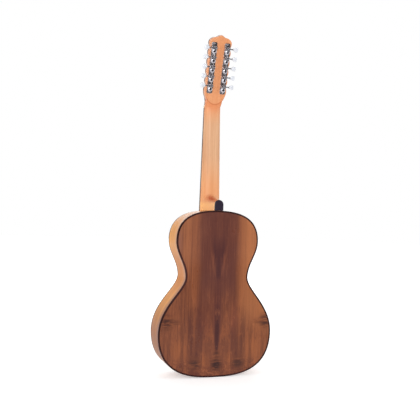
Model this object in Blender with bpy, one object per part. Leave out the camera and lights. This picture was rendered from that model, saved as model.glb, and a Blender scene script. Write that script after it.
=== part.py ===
"""Viola caipira, modelled as the separate pieces that its maker glues, presses and screws together.

Units are metres, with +Z up along the neck. The soundboard faces -Y, the back faces +Y, and +X is
the treble side. The origin is at the lowest point of the body, in the middle of its depth with
the saddle.
"""

import math

import bmesh
import bpy
from mathutils import Matrix, Vector

MM = 0.001

# Clearances
GAP = 0.3 * MM                      # between faces that touch
RUNNING_GAP = 0.3 * MM              # round a turning shaft
STRING_GAP = 0.45 * MM              # between turns of a string, and to a string that it passes

# Body outline, seen from the front, with Z measured from its lowest point
BODY_LENGTH = 450 * MM
BODY_DEPTH = 86 * MM
UPPER_BOUT_WIDTH = 232.4 * MM
UPPER_BOUT_Z = 0.8147 * BODY_LENGTH
WAIST_WIDTH = 176 * MM
WAIST_Z = 0.5996 * BODY_LENGTH
LOWER_BOUT_WIDTH = 319.6 * MM
LOWER_BOUT_Z = 0.2649 * BODY_LENGTH
TOP_REACH = 0.2969 * UPPER_BOUT_WIDTH       # how far each tangent pulls the curve that leaves the point
UPPER_BOUT_RISE = 0.1402 * BODY_LENGTH
UPPER_BOUT_FALL = 0.0771 * BODY_LENGTH
WAIST_RISE = 0.0798 * BODY_LENGTH
WAIST_FALL = 0.0784 * BODY_LENGTH
LOWER_BOUT_RISE = 0.1624 * BODY_LENGTH
LOWER_BOUT_FALL = 0.2642 * BODY_LENGTH
BOTTOM_REACH = 0.1555 * LOWER_BOUT_WIDTH
OUTLINE_STEPS = (6, 5, 5, 8)        # facets of the four curves from the top to the bottom

# Plates, sides and what glues them together
PLATE_THICKNESS = 3 * MM
SIDE_THICKNESS = 2.2 * MM
BINDING_DEPTH = 5.5 * MM
LINING_WIDTH = 6 * MM
LINING_DEPTH = 14 * MM
BRACE_WIDTH = 7 * MM
BRACE_HEIGHT = 12 * MM
FAN_BRACE_WIDTH = 5 * MM
FAN_BRACE_HEIGHT = 6 * MM
FAN_SPREAD = math.radians(11)
FAN_TOP_SHARE = 0.4                 # of the spread that the fan already has at its top
FAN_CLEARANCE = 12 * MM             # from the end block and its lining to the fan
BRACE_CLEARANCE = 3 * MM            # from each brace end to the lining
NECK_BLOCK_TO_BRACE = 37.4 * MM     # from the neck block to the middle of the back's first brace
NECK_BLOCK_WIDTH = 70 * MM
NECK_BLOCK_LENGTH = 46 * MM
END_BLOCK_WIDTH = 56 * MM
END_BLOCK_LENGTH = 16 * MM
SOUNDHOLE_RADIUS = 41 * MM
ROSETTE_MARGIN = 4 * MM
ROSETTE_WIDTH = 9 * MM
ROSETTE_THICKNESS = 1.2 * MM

# Scale, neck and fingerboard
SCALE_LENGTH = 580 * MM
NUT_WIDTH = 46.4 * MM
NECK_WIDTH_AT_BODY = 57 * MM
NECK_DEPTH_AT_NUT = 17 * MM
NECK_DEPTH_AT_HEEL = 20 * MM
SHAFT_RUN_OUT = 16 * MM             # from the nut to where the shaft starts to turn into the head
HEAD_RUN_OUT = 16 * MM              # from the nut to where the head's back is flat
HEAD_RUN_OUT_SECTIONS = ((0.3, 4), (0.62, 9), (1, 24))      # share of that run, and its fullness
SKIN = 0.05 * MM                    # by which a joined form stays inside another
HEEL_RISE = 29 * MM                 # from the body's edge to the top of the heel cap
HEEL_SWEEP = 18 * MM                # how much higher the heel leaves the shaft
HEEL_CAP_WIDTH = 25 * MM
HEEL_CAP_THICKNESS = 3 * MM
HEEL_CAP_BEVEL = 0.8 * MM
HEEL_FLARE = 16 * MM                # how much wider each cheek is at the fingerboard
TENON_WIDTH = 20 * MM
TENON_LENGTH = 25 * MM
FINGERBOARD_THICKNESS = 6 * MM
FINGERBOARD_OVERHANG = 5 * MM       # past the last fret
FRETS = 19
FRET_WIDTH = 2 * MM
FRET_HEIGHT = 1 * MM
FRET_INSET = 0.6 * MM
NUT_THICKNESS = 5 * MM

# Head
HEAD_ANGLE = math.radians(16.1)
HEAD_LENGTH = 197 * MM              # from the nut to the tip, along the head
HEAD_HALF_WIDTH = 31.3 * MM         # at the bulges between the tuners
HEAD_NECK_HALF_WIDTH = 23 * MM
HEAD_FLARE_START = 9 * MM
SCALLOP_DEPTH = 3.8 * MM
SCALLOP_STEPS = 4                   # facets of each scallop
CROWN_CUSP_X = 11.5 * MM
CROWN_CUSP_DROP = 5.1 * MM
VENEER_THICKNESS = 1.8 * MM
VENEER_START = 1.5 * MM             # from the nut, along the head

# Tuners, five a side on one strip plate
TUNERS = 5
FIRST_POST_T = 0.2533 * HEAD_LENGTH # from the nut, along the head
TUNER_PITCH = 0.13066 * HEAD_LENGTH
POST_X = 18.9 * MM
POST_RADIUS = 3 * MM
POST_WAIST_RADIUS = 2.6 * MM
POST_RISE = 9 * MM                  # in front of the veneer
POST_HEAD = 3 * MM
GEAR_TEETH = 14
GEAR_PITCH_RADIUS = 6 * MM
GEAR_THICKNESS = 4 * MM
GEAR_SCREW_RADIUS = 2.6 * MM
HUB_RADIUS = 3.6 * MM               # between the gear and the strip plate
WORM_PITCH_RADIUS = 3 * MM
TOOTH_RISE = 0.7 * MM
TOOTH_FALL = 1 * MM
TOOTH_SHARE = 0.46                  # of the pitch that a gear tooth fills at its pitch circle
TOOTH_TAPER = 0.3 * MM              # how much each flank leans in from the root to the tip
WORM_AXIS_HEIGHT = 6 * MM           # above the back of the head
WORM_TURNS = 2
WORM_SIDES = 8
COLLAR_RADIUS = 2.6 * MM
SHAFT_RADIUS = 1.75 * MM
PLATE_METAL = 1.2 * MM
TUNER_PLATE_WIDTH = 16 * MM
TUNER_PLATE_START = 12 * MM         # from its lower end to the first post
TUNER_PLATE_END = 24.2 * MM         # from the last post to its upper end
EAR_THICKNESS = 1.4 * MM
EAR_SPAN = 13 * MM                  # between the middles of a tuner's two ears
EAR_RADIUS = 3.8 * MM
SCREW_RADIUS = 2.2 * MM
SCREW_HEIGHT = 1.2 * MM
BUTTON_START_X = 35 * MM
BUTTON_LENGTH = 13.5 * MM
BUTTON_WIDTH = 13.6 * MM
BUTTON_THICKNESS = 7 * MM
BUTTON_BORE = 8 * MM
# Share of its length, and shares of its width and thickness there
BUTTON_SECTIONS = ((0, 0.52, 0.78), (0.12, 0.6, 0.86), (0.42, 0.86, 1), (0.66, 1, 0.98), (0.86, 0.9, 0.84),
                   (1, 0.62, 0.5))

# Bridge, saddle and strings
BRIDGE_CENTRE_WIDTH = 76 * MM
BRIDGE_WIDTH = 150 * MM
BRIDGE_WING_HEIGHT = 4 * MM
BRIDGE_HEIGHT = 8 * MM
BRIDGE_VALLEY_HEIGHT = 4.6 * MM
BRIDGE_FRONT = 8 * MM               # from the saddle to the edge that faces the soundhole
BRIDGE_VALLEY_START = 4 * MM        # from the saddle towards the tail
BRIDGE_VALLEY_END = 14 * MM
BRIDGE_TAIL = 22 * MM
BRIDGE_CHAMFER = 2 * MM
STRING_HOLE_HEIGHT = 5.6 * MM
STRING_HOLE_RADIUS = 1 * MM
SADDLE_HEIGHT = 11 * MM             # above the soundboard
SADDLE_THICKNESS = 3 * MM
SADDLE_LENGTH = 66 * MM
SADDLE_SLOPE = 1.5 * MM
SADDLE_SEAT = 3.6 * MM              # depth of its slot
NUT_COURSE_SPACING = 9.2 * MM
NUT_PAIR_SPACING = 2.6 * MM
SADDLE_COURSE_SPACING = 13.5 * MM
SADDLE_PAIR_SPACING = 4 * MM
STRING_RISE_AT_NUT = 0.8 * MM       # above the frets
STRING_TURNS = 2
STRING_TURN_POINTS = 8
BALL_RADIUS = 1.6 * MM
BALL_LENGTH = 3.4 * MM
# From the outermost string to the one in the middle course
TREBLE_GAUGES = (0.28 * MM, 0.28 * MM, 0.36 * MM, 0.36 * MM, 0.25 * MM)
BASS_GAUGES = (0.81 * MM, 0.41 * MM, 0.66 * MM, 0.30 * MM, 0.56 * MM)

# Places that follow from the sizes above
NECK_LENGTH = SCALE_LENGTH / 2      # the twelfth fret stands at the body's edge
NUT_Z = BODY_LENGTH + NECK_LENGTH
SADDLE_Z = NUT_Z - SCALE_LENGTH
FRONT_Y = -(BODY_DEPTH - SADDLE_HEIGHT) / 2
BACK_Y = FRONT_Y + BODY_DEPTH
PLATE_INSET = SIDE_THICKNESS + GAP
LINING_INSET = SIDE_THICKNESS + LINING_WIDTH
FRONT_INNER_Y = FRONT_Y + PLATE_THICKNESS
BACK_INNER_Y = BACK_Y - PLATE_THICKNESS
FINGERBOARD_Y = FRONT_Y - GAP - FINGERBOARD_THICKNESS
FRET_Y = FINGERBOARD_Y - FRET_HEIGHT
NUT_END_Z = NUT_Z + GAP + NUT_THICKNESS
HEAD_BREAK_Z = NUT_END_Z + GAP
HEAD_WOOD = (NECK_DEPTH_AT_NUT + (HEAD_BREAK_Z - NUT_Z) * math.tan(HEAD_ANGLE)) * math.cos(HEAD_ANGLE)
VENEER_FACE = -(HEAD_WOOD + GAP + VENEER_THICKNESS)
FINGERBOARD_END_Z = NUT_Z - SCALE_LENGTH * (1 - 0.5 ** (FRETS / 12)) - FINGERBOARD_OVERHANG
SOUNDHOLE_Z = FINGERBOARD_END_Z - 2 * GAP - SOUNDHOLE_RADIUS
WORM_OFFSET = GEAR_PITCH_RADIUS + WORM_PITCH_RADIUS
CIRCULAR_PITCH = math.tau * GEAR_PITCH_RADIUS / GEAR_TEETH


def clearance_radius(radius, clearance, sides):
    """Corner radius of a faceted bore whose flats clear a shaft of this radius."""
    return (radius + clearance) / math.cos(math.pi / sides)


def material(name, colour, roughness, metallic=0.0):
    """A Principled material of one colour."""
    made = bpy.data.materials.new(name)
    made.use_nodes = True
    shader = made.node_tree.nodes["Principled BSDF"]
    shader.inputs["Base Color"].default_value = (*colour, 1.0)
    shader.inputs["Roughness"].default_value = roughness
    shader.inputs["Metallic"].default_value = metallic
    return made


def mesh_object(name, points, faces, parent=None):
    """One closed mesh object, with its faces turned outwards."""
    mesh = bpy.data.meshes.new(name)
    mesh.from_pydata([tuple(point) for point in points], [], faces)
    work = bmesh.new()
    work.from_mesh(mesh)
    bmesh.ops.remove_doubles(work, verts=work.verts, dist=1e-7)
    bmesh.ops.recalc_face_normals(work, faces=work.faces)
    work.to_mesh(mesh)
    work.free()
    made = bpy.data.objects.new(name, mesh)
    bpy.context.scene.collection.objects.link(made)
    made.parent = parent
    return made


def loft(name, rings, closed=False, parent=None):
    """Skin over rings that have as many points each, capped unless the last joins the first."""
    count = len(rings[0])
    points = [point for ring in rings for point in ring]
    faces = []
    for k in range(len(rings) if closed else len(rings) - 1):
        here = k * count
        there = (k + 1) % len(rings) * count
        for i in range(count):
            j = (i + 1) % count
            faces.append((here + i, here + j, there + j, there + i))
    if not closed:
        faces.append(tuple(range(count)))
        faces.append(tuple(range(len(points) - count, len(points))))
    return mesh_object(name, points, faces, parent)


def prism(name, outline, low, high, holes=(), parent=None):
    """Plate with this XZ outline and these holes, from low to high along Y."""
    work = bmesh.new()
    edges = []
    for loop in (outline, *holes):
        corners = [work.verts.new((x, low, z)) for x, z in loop]
        edges += [work.edges.new((corners[i - 1], corners[i])) for i in range(len(corners))]
    bmesh.ops.triangle_fill(work, use_beauty=True, use_dissolve=False, edges=edges, normal=(0, -1, 0))
    raised = bmesh.ops.extrude_face_region(work, geom=list(work.faces), use_keep_orig=True)
    moved = [item for item in raised["geom"] if isinstance(item, bmesh.types.BMVert)]
    bmesh.ops.translate(work, verts=moved, vec=(0, high - low, 0))
    bmesh.ops.recalc_face_normals(work, faces=work.faces)
    mesh = bpy.data.meshes.new(name)
    work.to_mesh(mesh)
    work.free()
    made = bpy.data.objects.new(name, mesh)
    bpy.context.scene.collection.objects.link(made)
    made.parent = parent
    return made


def box(name, low, high, parent=None):
    """Block between two opposite corners."""
    outline = [(low[0], low[2]), (high[0], low[2]), (high[0], high[2]), (low[0], high[2])]
    return prism(name, outline, low[1], high[1], parent=parent)


def layered_plate(name, faces, walls):
    """Plate from flat XZ faces (y, outer loop, inner loop) and the walls (loop, low, high) between them."""
    work = bmesh.new()
    for y, outer, inner in faces:
        edges = []
        for loop in (outer, inner):
            corners = [work.verts.new((x, y, z)) for x, z in loop]
            edges += [work.edges.new((corners[i - 1], corners[i])) for i in range(len(corners))]
        bmesh.ops.triangle_fill(work, use_beauty=True, use_dissolve=False, edges=edges, normal=(0, -1, 0))
    for loop, low, high in walls:
        front = [work.verts.new((x, low, z)) for x, z in loop]
        back = [work.verts.new((x, high, z)) for x, z in loop]
        for i in range(len(loop)):
            work.faces.new((front[i - 1], front[i], back[i], back[i - 1]))
    bmesh.ops.remove_doubles(work, verts=work.verts, dist=1e-7)
    bmesh.ops.recalc_face_normals(work, faces=work.faces)
    mesh = bpy.data.meshes.new(name)
    work.to_mesh(mesh)
    work.free()
    made = bpy.data.objects.new(name, mesh)
    bpy.context.scene.collection.objects.link(made)
    return made


def circle(x, z, radius, sides):
    """Points of a circle in the XZ plane."""
    turns = [math.tau * (i + 0.5) / sides for i in range(sides)]
    return [(x + radius * math.cos(turn), z + radius * math.sin(turn)) for turn in turns]


def combine(target, operation, tools):
    """Apply one exact Boolean with each tool, and take the tools away."""
    for tool in tools:
        step = target.modifiers.new(operation, "BOOLEAN")
        step.operation = operation
        step.solver = "EXACT"
        step.object = tool
    bpy.context.view_layer.update()
    shaped = target.evaluated_get(bpy.context.evaluated_depsgraph_get())
    target.data = bpy.data.meshes.new_from_object(shaped)
    target.modifiers.clear()
    for tool in tools:
        bpy.data.objects.remove(tool)
    return target


def finish(made, look, smooth_below=None):
    """Give an object its material, and smooth shading across edges below this angle."""
    made.data.materials.clear()
    made.data.materials.append(look)
    if smooth_below is not None:
        made.data.shade_smooth()
        made.data.set_sharp_from_angle(angle=math.radians(smooth_below))
    return made


def bezier(start, leave, arrive, end, steps):
    """Points of one cubic curve with their unit tangents, without the last point."""
    found = []
    for k in range(steps):
        t = k / steps
        s = 1 - t
        point = start * s**3 + leave * 3 * s * s * t + arrive * 3 * s * t * t + end * t**3
        slope = (leave - start) * s * s + (arrive - leave) * 2 * s * t + (end - arrive) * t * t
        found.append((point, slope.normalized()))
    return found


def half_outline():
    """Edge of the treble half from the top to the bottom: points and outward normals in XZ."""
    knots = [
        (Vector((0, BODY_LENGTH)), Vector((-TOP_REACH, 0)), Vector((TOP_REACH, 0))),
        (Vector((UPPER_BOUT_WIDTH / 2, UPPER_BOUT_Z)), Vector((0, UPPER_BOUT_RISE)),
         Vector((0, -UPPER_BOUT_FALL))),
        (Vector((WAIST_WIDTH / 2, WAIST_Z)), Vector((0, WAIST_RISE)), Vector((0, -WAIST_FALL))),
        (Vector((LOWER_BOUT_WIDTH / 2, LOWER_BOUT_Z)), Vector((0, LOWER_BOUT_RISE)),
         Vector((0, -LOWER_BOUT_FALL))),
        (Vector((0, 0)), Vector((BOTTOM_REACH, 0)), Vector((-BOTTOM_REACH, 0))),
    ]
    stations = []
    for (start, _, leave), (end, arrive, _), count in zip(knots, knots[1:], OUTLINE_STEPS):
        for point, tangent in bezier(start, start + leave, end + arrive, end, count):
            stations.append((point, Vector((-tangent.y, tangent.x))))
    stations.append((Vector((0, 0)), Vector((0, -1))))
    return stations


def inset_half(inset):
    """The treble half's edge, moved inwards by this much."""
    return [point - normal * inset for point, normal in half_outline()]


def body_outline(inset):
    """The whole edge, moved inwards, as XZ points."""
    treble = inset_half(inset)
    return [(p.x, p.y) for p in treble] + [(-p.x, p.y) for p in reversed(treble[1:-1])]


def edge_z(x, inset, top):
    """Height of the edge, moved inwards, at this distance from the middle, near the top or bottom."""
    edge = inset_half(inset)
    edge = edge[:OUTLINE_STEPS[0] + 1] if top else edge[:-OUTLINE_STEPS[-1] - 2:-1]
    for here, there in zip(edge, edge[1:]):
        if here.x <= abs(x) <= there.x:
            share = (abs(x) - here.x) / (there.x - here.x)
            return here.y + share * (there.y - here.y)
    return edge[-1].y


def half_width(z, inset):
    """Half the body's width at this height, moved inwards."""
    edge = inset_half(inset)
    for here, there in zip(edge, edge[1:]):
        if there.y <= z <= here.y:
            return here.x + (here.y - z) / (here.y - there.y) * (there.x - here.x)
    return 0.0


def edge_ring(name, section, parent=None):
    """Closed strip round the body with this section of (inset, y) points."""
    treble = half_outline()
    bass = [(Vector((-p.x, p.y)), Vector((-n.x, n.y))) for p, n in reversed(treble[1:-1])]
    rings = []
    for point, normal in treble + bass:
        rings.append([(point.x - normal.x * inset, y, point.y - normal.y * inset) for inset, y in section])
    return loft(name, rings, closed=True, parent=parent)


def brace(name, ends, width, foot_y, height):
    """Bar between two XZ points, rounded off at its crest, that stands into the body from foot_y."""
    start, end = Vector(ends[0]), Vector(ends[1])
    along = (end - start).normalized()
    across = Vector((-along.y, along.x)) * width / 2
    section = [(-1, 0), (-1, 0.6), (0, 1), (1, 0.6), (1, 0)]
    scallop = along * 3 * abs(height)
    rings = []
    for point, rise in ((start, 0.35), (start + scallop, 1), (end - scallop, 1), (end, 0.35)):
        ring = []
        for side, level in section:
            place = point + across * side
            ring.append((place.x, foot_y + height * level * rise, place.y))
        rings.append(ring)
    return loft(name, rings)


def fret_z(fret):
    """Height of a fret on the scale."""
    return NUT_Z - SCALE_LENGTH * (1 - 0.5 ** (fret / 12))


def neck_half_width(z):
    """Half the neck's width, which widens evenly from the nut."""
    share = (NUT_Z - z) / NECK_LENGTH
    return (NUT_WIDTH + (NECK_WIDTH_AT_BODY - NUT_WIDTH) * share) / 2


def make_soundboard(look):
    """Soundboard with its hole, the rosette's groove, two bars and a fan of three."""
    rim = body_outline(PLATE_INSET)
    hole = circle(0, SOUNDHOLE_Z, SOUNDHOLE_RADIUS, 24)
    inner = SOUNDHOLE_RADIUS + ROSETTE_MARGIN
    groove_in = circle(0, SOUNDHOLE_Z, inner - GAP, 32)
    groove_out = circle(0, SOUNDHOLE_Z, inner + ROSETTE_WIDTH + GAP, 32)
    floor = FRONT_Y + ROSETTE_THICKNESS + GAP
    board = layered_plate(
        "soundboard",
        [(FRONT_Y, rim, groove_out), (FRONT_Y, groove_in, hole), (floor, groove_out, groove_in),
         (FRONT_INNER_Y, rim, hole)],
        [(rim, FRONT_Y, FRONT_INNER_Y), (groove_out, FRONT_Y, floor), (groove_in, FRONT_Y, floor),
         (hole, FRONT_Y, FRONT_INNER_Y)])
    foot = FRONT_INNER_Y - GAP
    upper_bar = SOUNDHOLE_Z + inner + ROSETTE_WIDTH + BRACE_WIDTH / 2
    lower_bar = SOUNDHOLE_Z - inner - ROSETTE_WIDTH - BRACE_WIDTH / 2
    bars = []
    for z in (upper_bar, lower_bar):
        reach = half_width(z, LINING_INSET) - BRACE_CLEARANCE
        bars.append(brace("bar", ((-reach, z), (reach, z)), BRACE_WIDTH, foot, BRACE_HEIGHT))
    fan_top = lower_bar - BRACE_WIDTH
    fan_length = fan_top - END_BLOCK_LENGTH - LINING_INSET - FAN_CLEARANCE
    for turn in (-FAN_SPREAD, 0, FAN_SPREAD):
        top_x = fan_length * math.tan(turn) * FAN_TOP_SHARE
        ends = ((top_x, fan_top), (top_x + fan_length * math.tan(turn), fan_top - fan_length))
        bars.append(brace("fan", ends, FAN_BRACE_WIDTH, foot, FAN_BRACE_HEIGHT))
    return finish(combine(board, "UNION", bars), look)


def make_rosette(look):
    """Inlaid ring round the soundhole, flush with the soundboard."""
    inner = SOUNDHOLE_RADIUS + ROSETTE_MARGIN
    ring = prism("rosette", circle(0, SOUNDHOLE_Z, inner + ROSETTE_WIDTH, 32), FRONT_Y,
                 FRONT_Y + ROSETTE_THICKNESS, [circle(0, SOUNDHOLE_Z, inner, 32)])
    return finish(ring, look)


def make_back(look):
    """Flat back with three cross braces."""
    plate = prism("back", body_outline(PLATE_INSET), BACK_INNER_Y, BACK_Y)
    bars = []
    upper_bar = BODY_LENGTH - NECK_BLOCK_LENGTH - NECK_BLOCK_TO_BRACE
    for z in (upper_bar, WAIST_Z - BRACE_HEIGHT, LOWER_BOUT_Z):
        reach = half_width(z, LINING_INSET) - BRACE_CLEARANCE
        bars.append(brace("bar", ((-reach, z), (reach, z)), BRACE_WIDTH, BACK_INNER_Y + GAP, -BRACE_HEIGHT))
    return finish(combine(plate, "UNION", bars), look)


def block_outline(top, margin):
    """Outline of the neck block or the end block, whose outer face follows the sides."""
    width = (NECK_BLOCK_WIDTH if top else END_BLOCK_WIDTH) / 2 + margin
    outer = PLATE_INSET - (GAP + 2 * SKIN if margin else 0)
    curve = [width * (i / 3 - 1) for i in range(7)]
    face = [(x, edge_z(x, outer, top)) for x in curve]
    inner_z = BODY_LENGTH - NECK_BLOCK_LENGTH - margin if top else END_BLOCK_LENGTH + margin
    return face + [(width, inner_z), (-width, inner_z)]


def make_blocks(look):
    """Neck block with the mortise for the neck's tenon, and end block."""
    neck_block = prism("neck_block", block_outline(True, 0), FRONT_INNER_Y + GAP, BACK_INNER_Y - GAP)
    reach = TENON_WIDTH / 2 + GAP
    mortise = box("mortise", (-reach, FRONT_Y, BODY_LENGTH - TENON_LENGTH - GAP),
                  (reach, BACK_Y, BODY_LENGTH + TENON_LENGTH))
    combine(neck_block, "DIFFERENCE", [mortise])
    end_block = prism("end_block", block_outline(False, 0), FRONT_INNER_Y + GAP, BACK_INNER_Y - GAP)
    return finish(neck_block, look), finish(end_block, look)


def make_side(name, sign, look):
    """Bent side of one half with its lining glued in along both edges."""
    ends = (FRONT_Y + BINDING_DEPTH + GAP, BACK_Y - BINDING_DEPTH - GAP)
    seats = (FRONT_INNER_Y + GAP, BACK_INNER_Y - GAP)
    section = [
        (0, ends[1]), (0, ends[0]), (PLATE_INSET, ends[0]), (PLATE_INSET, seats[0]),
        (LINING_INSET, seats[0]), (SIDE_THICKNESS, seats[0] + LINING_DEPTH),
        (SIDE_THICKNESS, seats[1] - LINING_DEPTH), (LINING_INSET, seats[1]),
        (PLATE_INSET, seats[1]), (PLATE_INSET, ends[1]),
    ]
    rings = []
    for point, normal in half_outline():
        ring = []
        for inset, y in section:
            place = point - normal * inset
            ring.append((sign * max(place.x, GAP / 2), y, place.y))
        rings.append(ring)
    side = loft(name, rings)
    cutters = [prism("block_space", block_outline(top, GAP), FRONT_Y, BACK_Y) for top in (True, False)]
    reach = TENON_WIDTH / 2 + GAP
    cutters.append(box("tenon_slot", (-reach, FRONT_Y, BODY_LENGTH - TENON_LENGTH),
                       (reach, BACK_Y, BODY_LENGTH + TENON_LENGTH)))
    return finish(combine(side, "DIFFERENCE", cutters), look, 40)


def make_bindings(look):
    """Binding round the edge of each plate."""
    made = []
    for name, face, inner in (("front_binding", FRONT_Y, FRONT_Y + BINDING_DEPTH),
                              ("back_binding", BACK_Y, BACK_Y - BINDING_DEPTH)):
        section = [(0, face), (SIDE_THICKNESS, face), (SIDE_THICKNESS, inner), (0, inner)]
        made.append(finish(edge_ring(name, section), look, 40))
    return made


def head_frame():
    """Empty on the back of the head at the nut: its X is across, Y out of the back and Z to the tip."""
    made = bpy.data.objects.new("head_frame", None)
    bpy.context.scene.collection.objects.link(made)
    made.location = (0, FRONT_Y + NECK_DEPTH_AT_NUT, NUT_Z)
    made.rotation_euler = (-HEAD_ANGLE, 0, 0)
    return made


def head_to_world(x, out, along):
    """World point of one in the head's frame."""
    cosine, sine = math.cos(HEAD_ANGLE), math.sin(HEAD_ANGLE)
    return Vector((x, FRONT_Y + NECK_DEPTH_AT_NUT + out * cosine + along * sine,
                   NUT_Z - out * sine + along * cosine))


def post_ts():
    """Distances of the posts from the nut, along the head."""
    return [FIRST_POST_T + TUNER_PITCH * k for k in range(TUNERS)]


def head_outline(start):
    """Outline of the head from this distance on: flare, a scallop beside each shaft, and the crown."""
    first_bulge = FIRST_POST_T + WORM_OFFSET - TUNER_PITCH / 2
    edge = [(HEAD_NECK_HALF_WIDTH, start)] if start < HEAD_FLARE_START - MM else []
    flare = first_bulge - HEAD_FLARE_START
    low = Vector((HEAD_NECK_HALF_WIDTH, HEAD_FLARE_START))
    high = Vector((HEAD_HALF_WIDTH, first_bulge))
    rise = Vector((0, flare / 2.2))
    edge += [tuple(point) for point, _ in bezier(low, low + rise, high - rise, high, 5)]
    for k in range(TUNERS * SCALLOP_STEPS + 1):
        dip = (0.5 - 0.5 * math.cos(math.tau * k / SCALLOP_STEPS)) ** 1.5
        edge.append((HEAD_HALF_WIDTH - SCALLOP_DEPTH * dip, first_bulge + TUNER_PITCH * k / SCALLOP_STEPS))
    shoulder = edge[-1][1]
    cusp = HEAD_LENGTH - CROWN_CUSP_DROP
    for k in range(1, 6):
        turn = math.pi / 2 * k / 5
        edge.append((CROWN_CUSP_X + (HEAD_HALF_WIDTH - CROWN_CUSP_X) * math.cos(turn),
                     shoulder + (cusp - shoulder) * math.sin(turn)))
    radius = (CROWN_CUSP_X**2 + CROWN_CUSP_DROP**2) / (2 * CROWN_CUSP_DROP)
    for k in range(1, 4):
        x = CROWN_CUSP_X * (1 - k / 3)
        edge.append((x, HEAD_LENGTH - radius + math.sqrt(radius**2 - x**2)))
    return edge + [(-x, t) for x, t in reversed(edge[:-1])]


def post_holes():
    """Bores of the ten posts in the head."""
    radius = clearance_radius(POST_RADIUS, RUNNING_GAP, 8)
    return [circle(sign * POST_X, t, radius, 8) for sign in (-1, 1) for t in post_ts()]


def neck_section(front, back, width, fullness):
    """Section of the neck with a flat front and a round back, between a front and a back YZ point."""
    ring = [(width, front[0], front[1])]
    for k in range(13):
        turn = math.pi * k / 12
        across = math.copysign(abs(math.cos(turn)) ** (2 / fullness), math.cos(turn))
        depth = (0.04 + 0.96 * math.sin(turn) ** (2 / fullness))
        ring.append((width * across, front[0] + (back[0] - front[0]) * depth,
                     front[1] + (back[1] - front[1]) * depth))
    return ring + [(-width, front[0], front[1])]


def make_shaft():
    """Neck shaft from inside the heel to the head, its round back running out into the flat head."""
    rings = []
    low = BODY_LENGTH - TENON_LENGTH / 2
    high = NUT_Z - SHAFT_RUN_OUT
    for k in range(6):
        z = low + (high - low) * k / 5
        depth = NECK_DEPTH_AT_HEEL + (NECK_DEPTH_AT_NUT - NECK_DEPTH_AT_HEEL) * (z - low) / (NUT_Z - low)
        rings.append(neck_section((FRONT_Y, z), (FRONT_Y + depth, z), neck_half_width(z), 2.3))
    start = head_to_world(0, 0, 0)
    rings.append(neck_section((FRONT_Y, HEAD_BREAK_Z), (start.y, start.z), HEAD_NECK_HALF_WIDTH, 2.8))
    for share, fullness in HEAD_RUN_OUT_SECTIONS:
        front = head_to_world(0, SKIN - HEAD_WOOD, HEAD_RUN_OUT * share)
        back = head_to_world(0, -SKIN, HEAD_RUN_OUT * share)
        rings.append(neck_section((front.y, front.z), (back.y, back.z), HEAD_NECK_HALF_WIDTH - SKIN,
                                  fullness))
    return loft("neck", rings)


def heel_top(share):
    """Height of the heel's crest: a hollow sweep from the shaft, share 0, to the cap, share 1."""
    return BODY_LENGTH + HEEL_RISE + HEEL_SWEEP * (1 - math.sqrt(1 - (1 - share) ** 2))


def arch(half, top, foot, steps):
    """XZ outline with parallel sides and a half-round top."""
    turns = [math.pi * k / steps for k in range(steps + 1)]
    curve = [(half * math.cos(turn), top - half + half * math.sin(turn)) for turn in turns]
    return [(half, foot)] + curve + [(-half, foot)]


def make_heel():
    """Heel, narrowing from the fingerboard to the cap."""
    start_y = FRONT_Y + NECK_DEPTH_AT_NUT / 2
    shaft_y = FRONT_Y + NECK_DEPTH_AT_HEEL
    end_y = BACK_Y - HEEL_CAP_THICKNESS - GAP
    rings = []
    for k in range(9):
        y = start_y + (end_y - start_y) * k / 8
        share = min(1, max(0, (y - shaft_y) / (end_y - shaft_y)))
        flare = ((end_y - y) / (end_y - FRONT_Y)) ** 2
        half = HEEL_CAP_WIDTH / 2 + HEEL_FLARE * flare
        outline = arch(half, heel_top(share), BODY_LENGTH - TENON_LENGTH / 2, 10)
        rings.append([(x, y, z) for x, z in outline])
    return loft("heel", rings)


def make_neck(look):
    """Neck in one piece: shaft, heel with its tenon, and head with the posts' bores."""
    neck = make_shaft()
    frame = head_frame()
    head = prism("head", head_outline(HEAD_FLARE_START), -HEAD_WOOD, 0, post_holes(), frame)
    combine(neck, "UNION", [make_heel(), head])
    body = prism("body_space", body_outline(-GAP), FRONT_Y - MM, BACK_Y + MM)
    combine(neck, "DIFFERENCE", [body])
    reach = TENON_WIDTH / 2
    tenon = box("tenon", (-reach, FRONT_Y + BINDING_DEPTH + GAP, BODY_LENGTH - TENON_LENGTH),
                (reach, BACK_Y - BINDING_DEPTH - GAP, BODY_LENGTH + TENON_LENGTH / 2))
    combine(neck, "UNION", [tenon])
    return finish(neck, look, 40), frame


def make_heel_cap(look):
    """Dark U-shaped plate on the heel, bevelled round its outer edge."""
    half = HEEL_CAP_WIDTH / 2
    foot = BODY_LENGTH + GAP
    top = BODY_LENGTH + HEEL_RISE
    rings = []
    for y, inset in ((BACK_Y - HEEL_CAP_THICKNESS, 0), (BACK_Y - HEEL_CAP_BEVEL, 0),
                     (BACK_Y, HEEL_CAP_BEVEL)):
        rings.append([(x, y, z) for x, z in arch(half - inset, top - inset, foot, 12)])
    return finish(loft("heel_cap", rings), look, 30)


def make_veneer(look, frame):
    """Dark face of the head."""
    veneer = prism("head_veneer", head_outline(VENEER_START), VENEER_FACE, VENEER_FACE + VENEER_THICKNESS,
                   post_holes(), frame)
    return finish(veneer, look)


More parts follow.
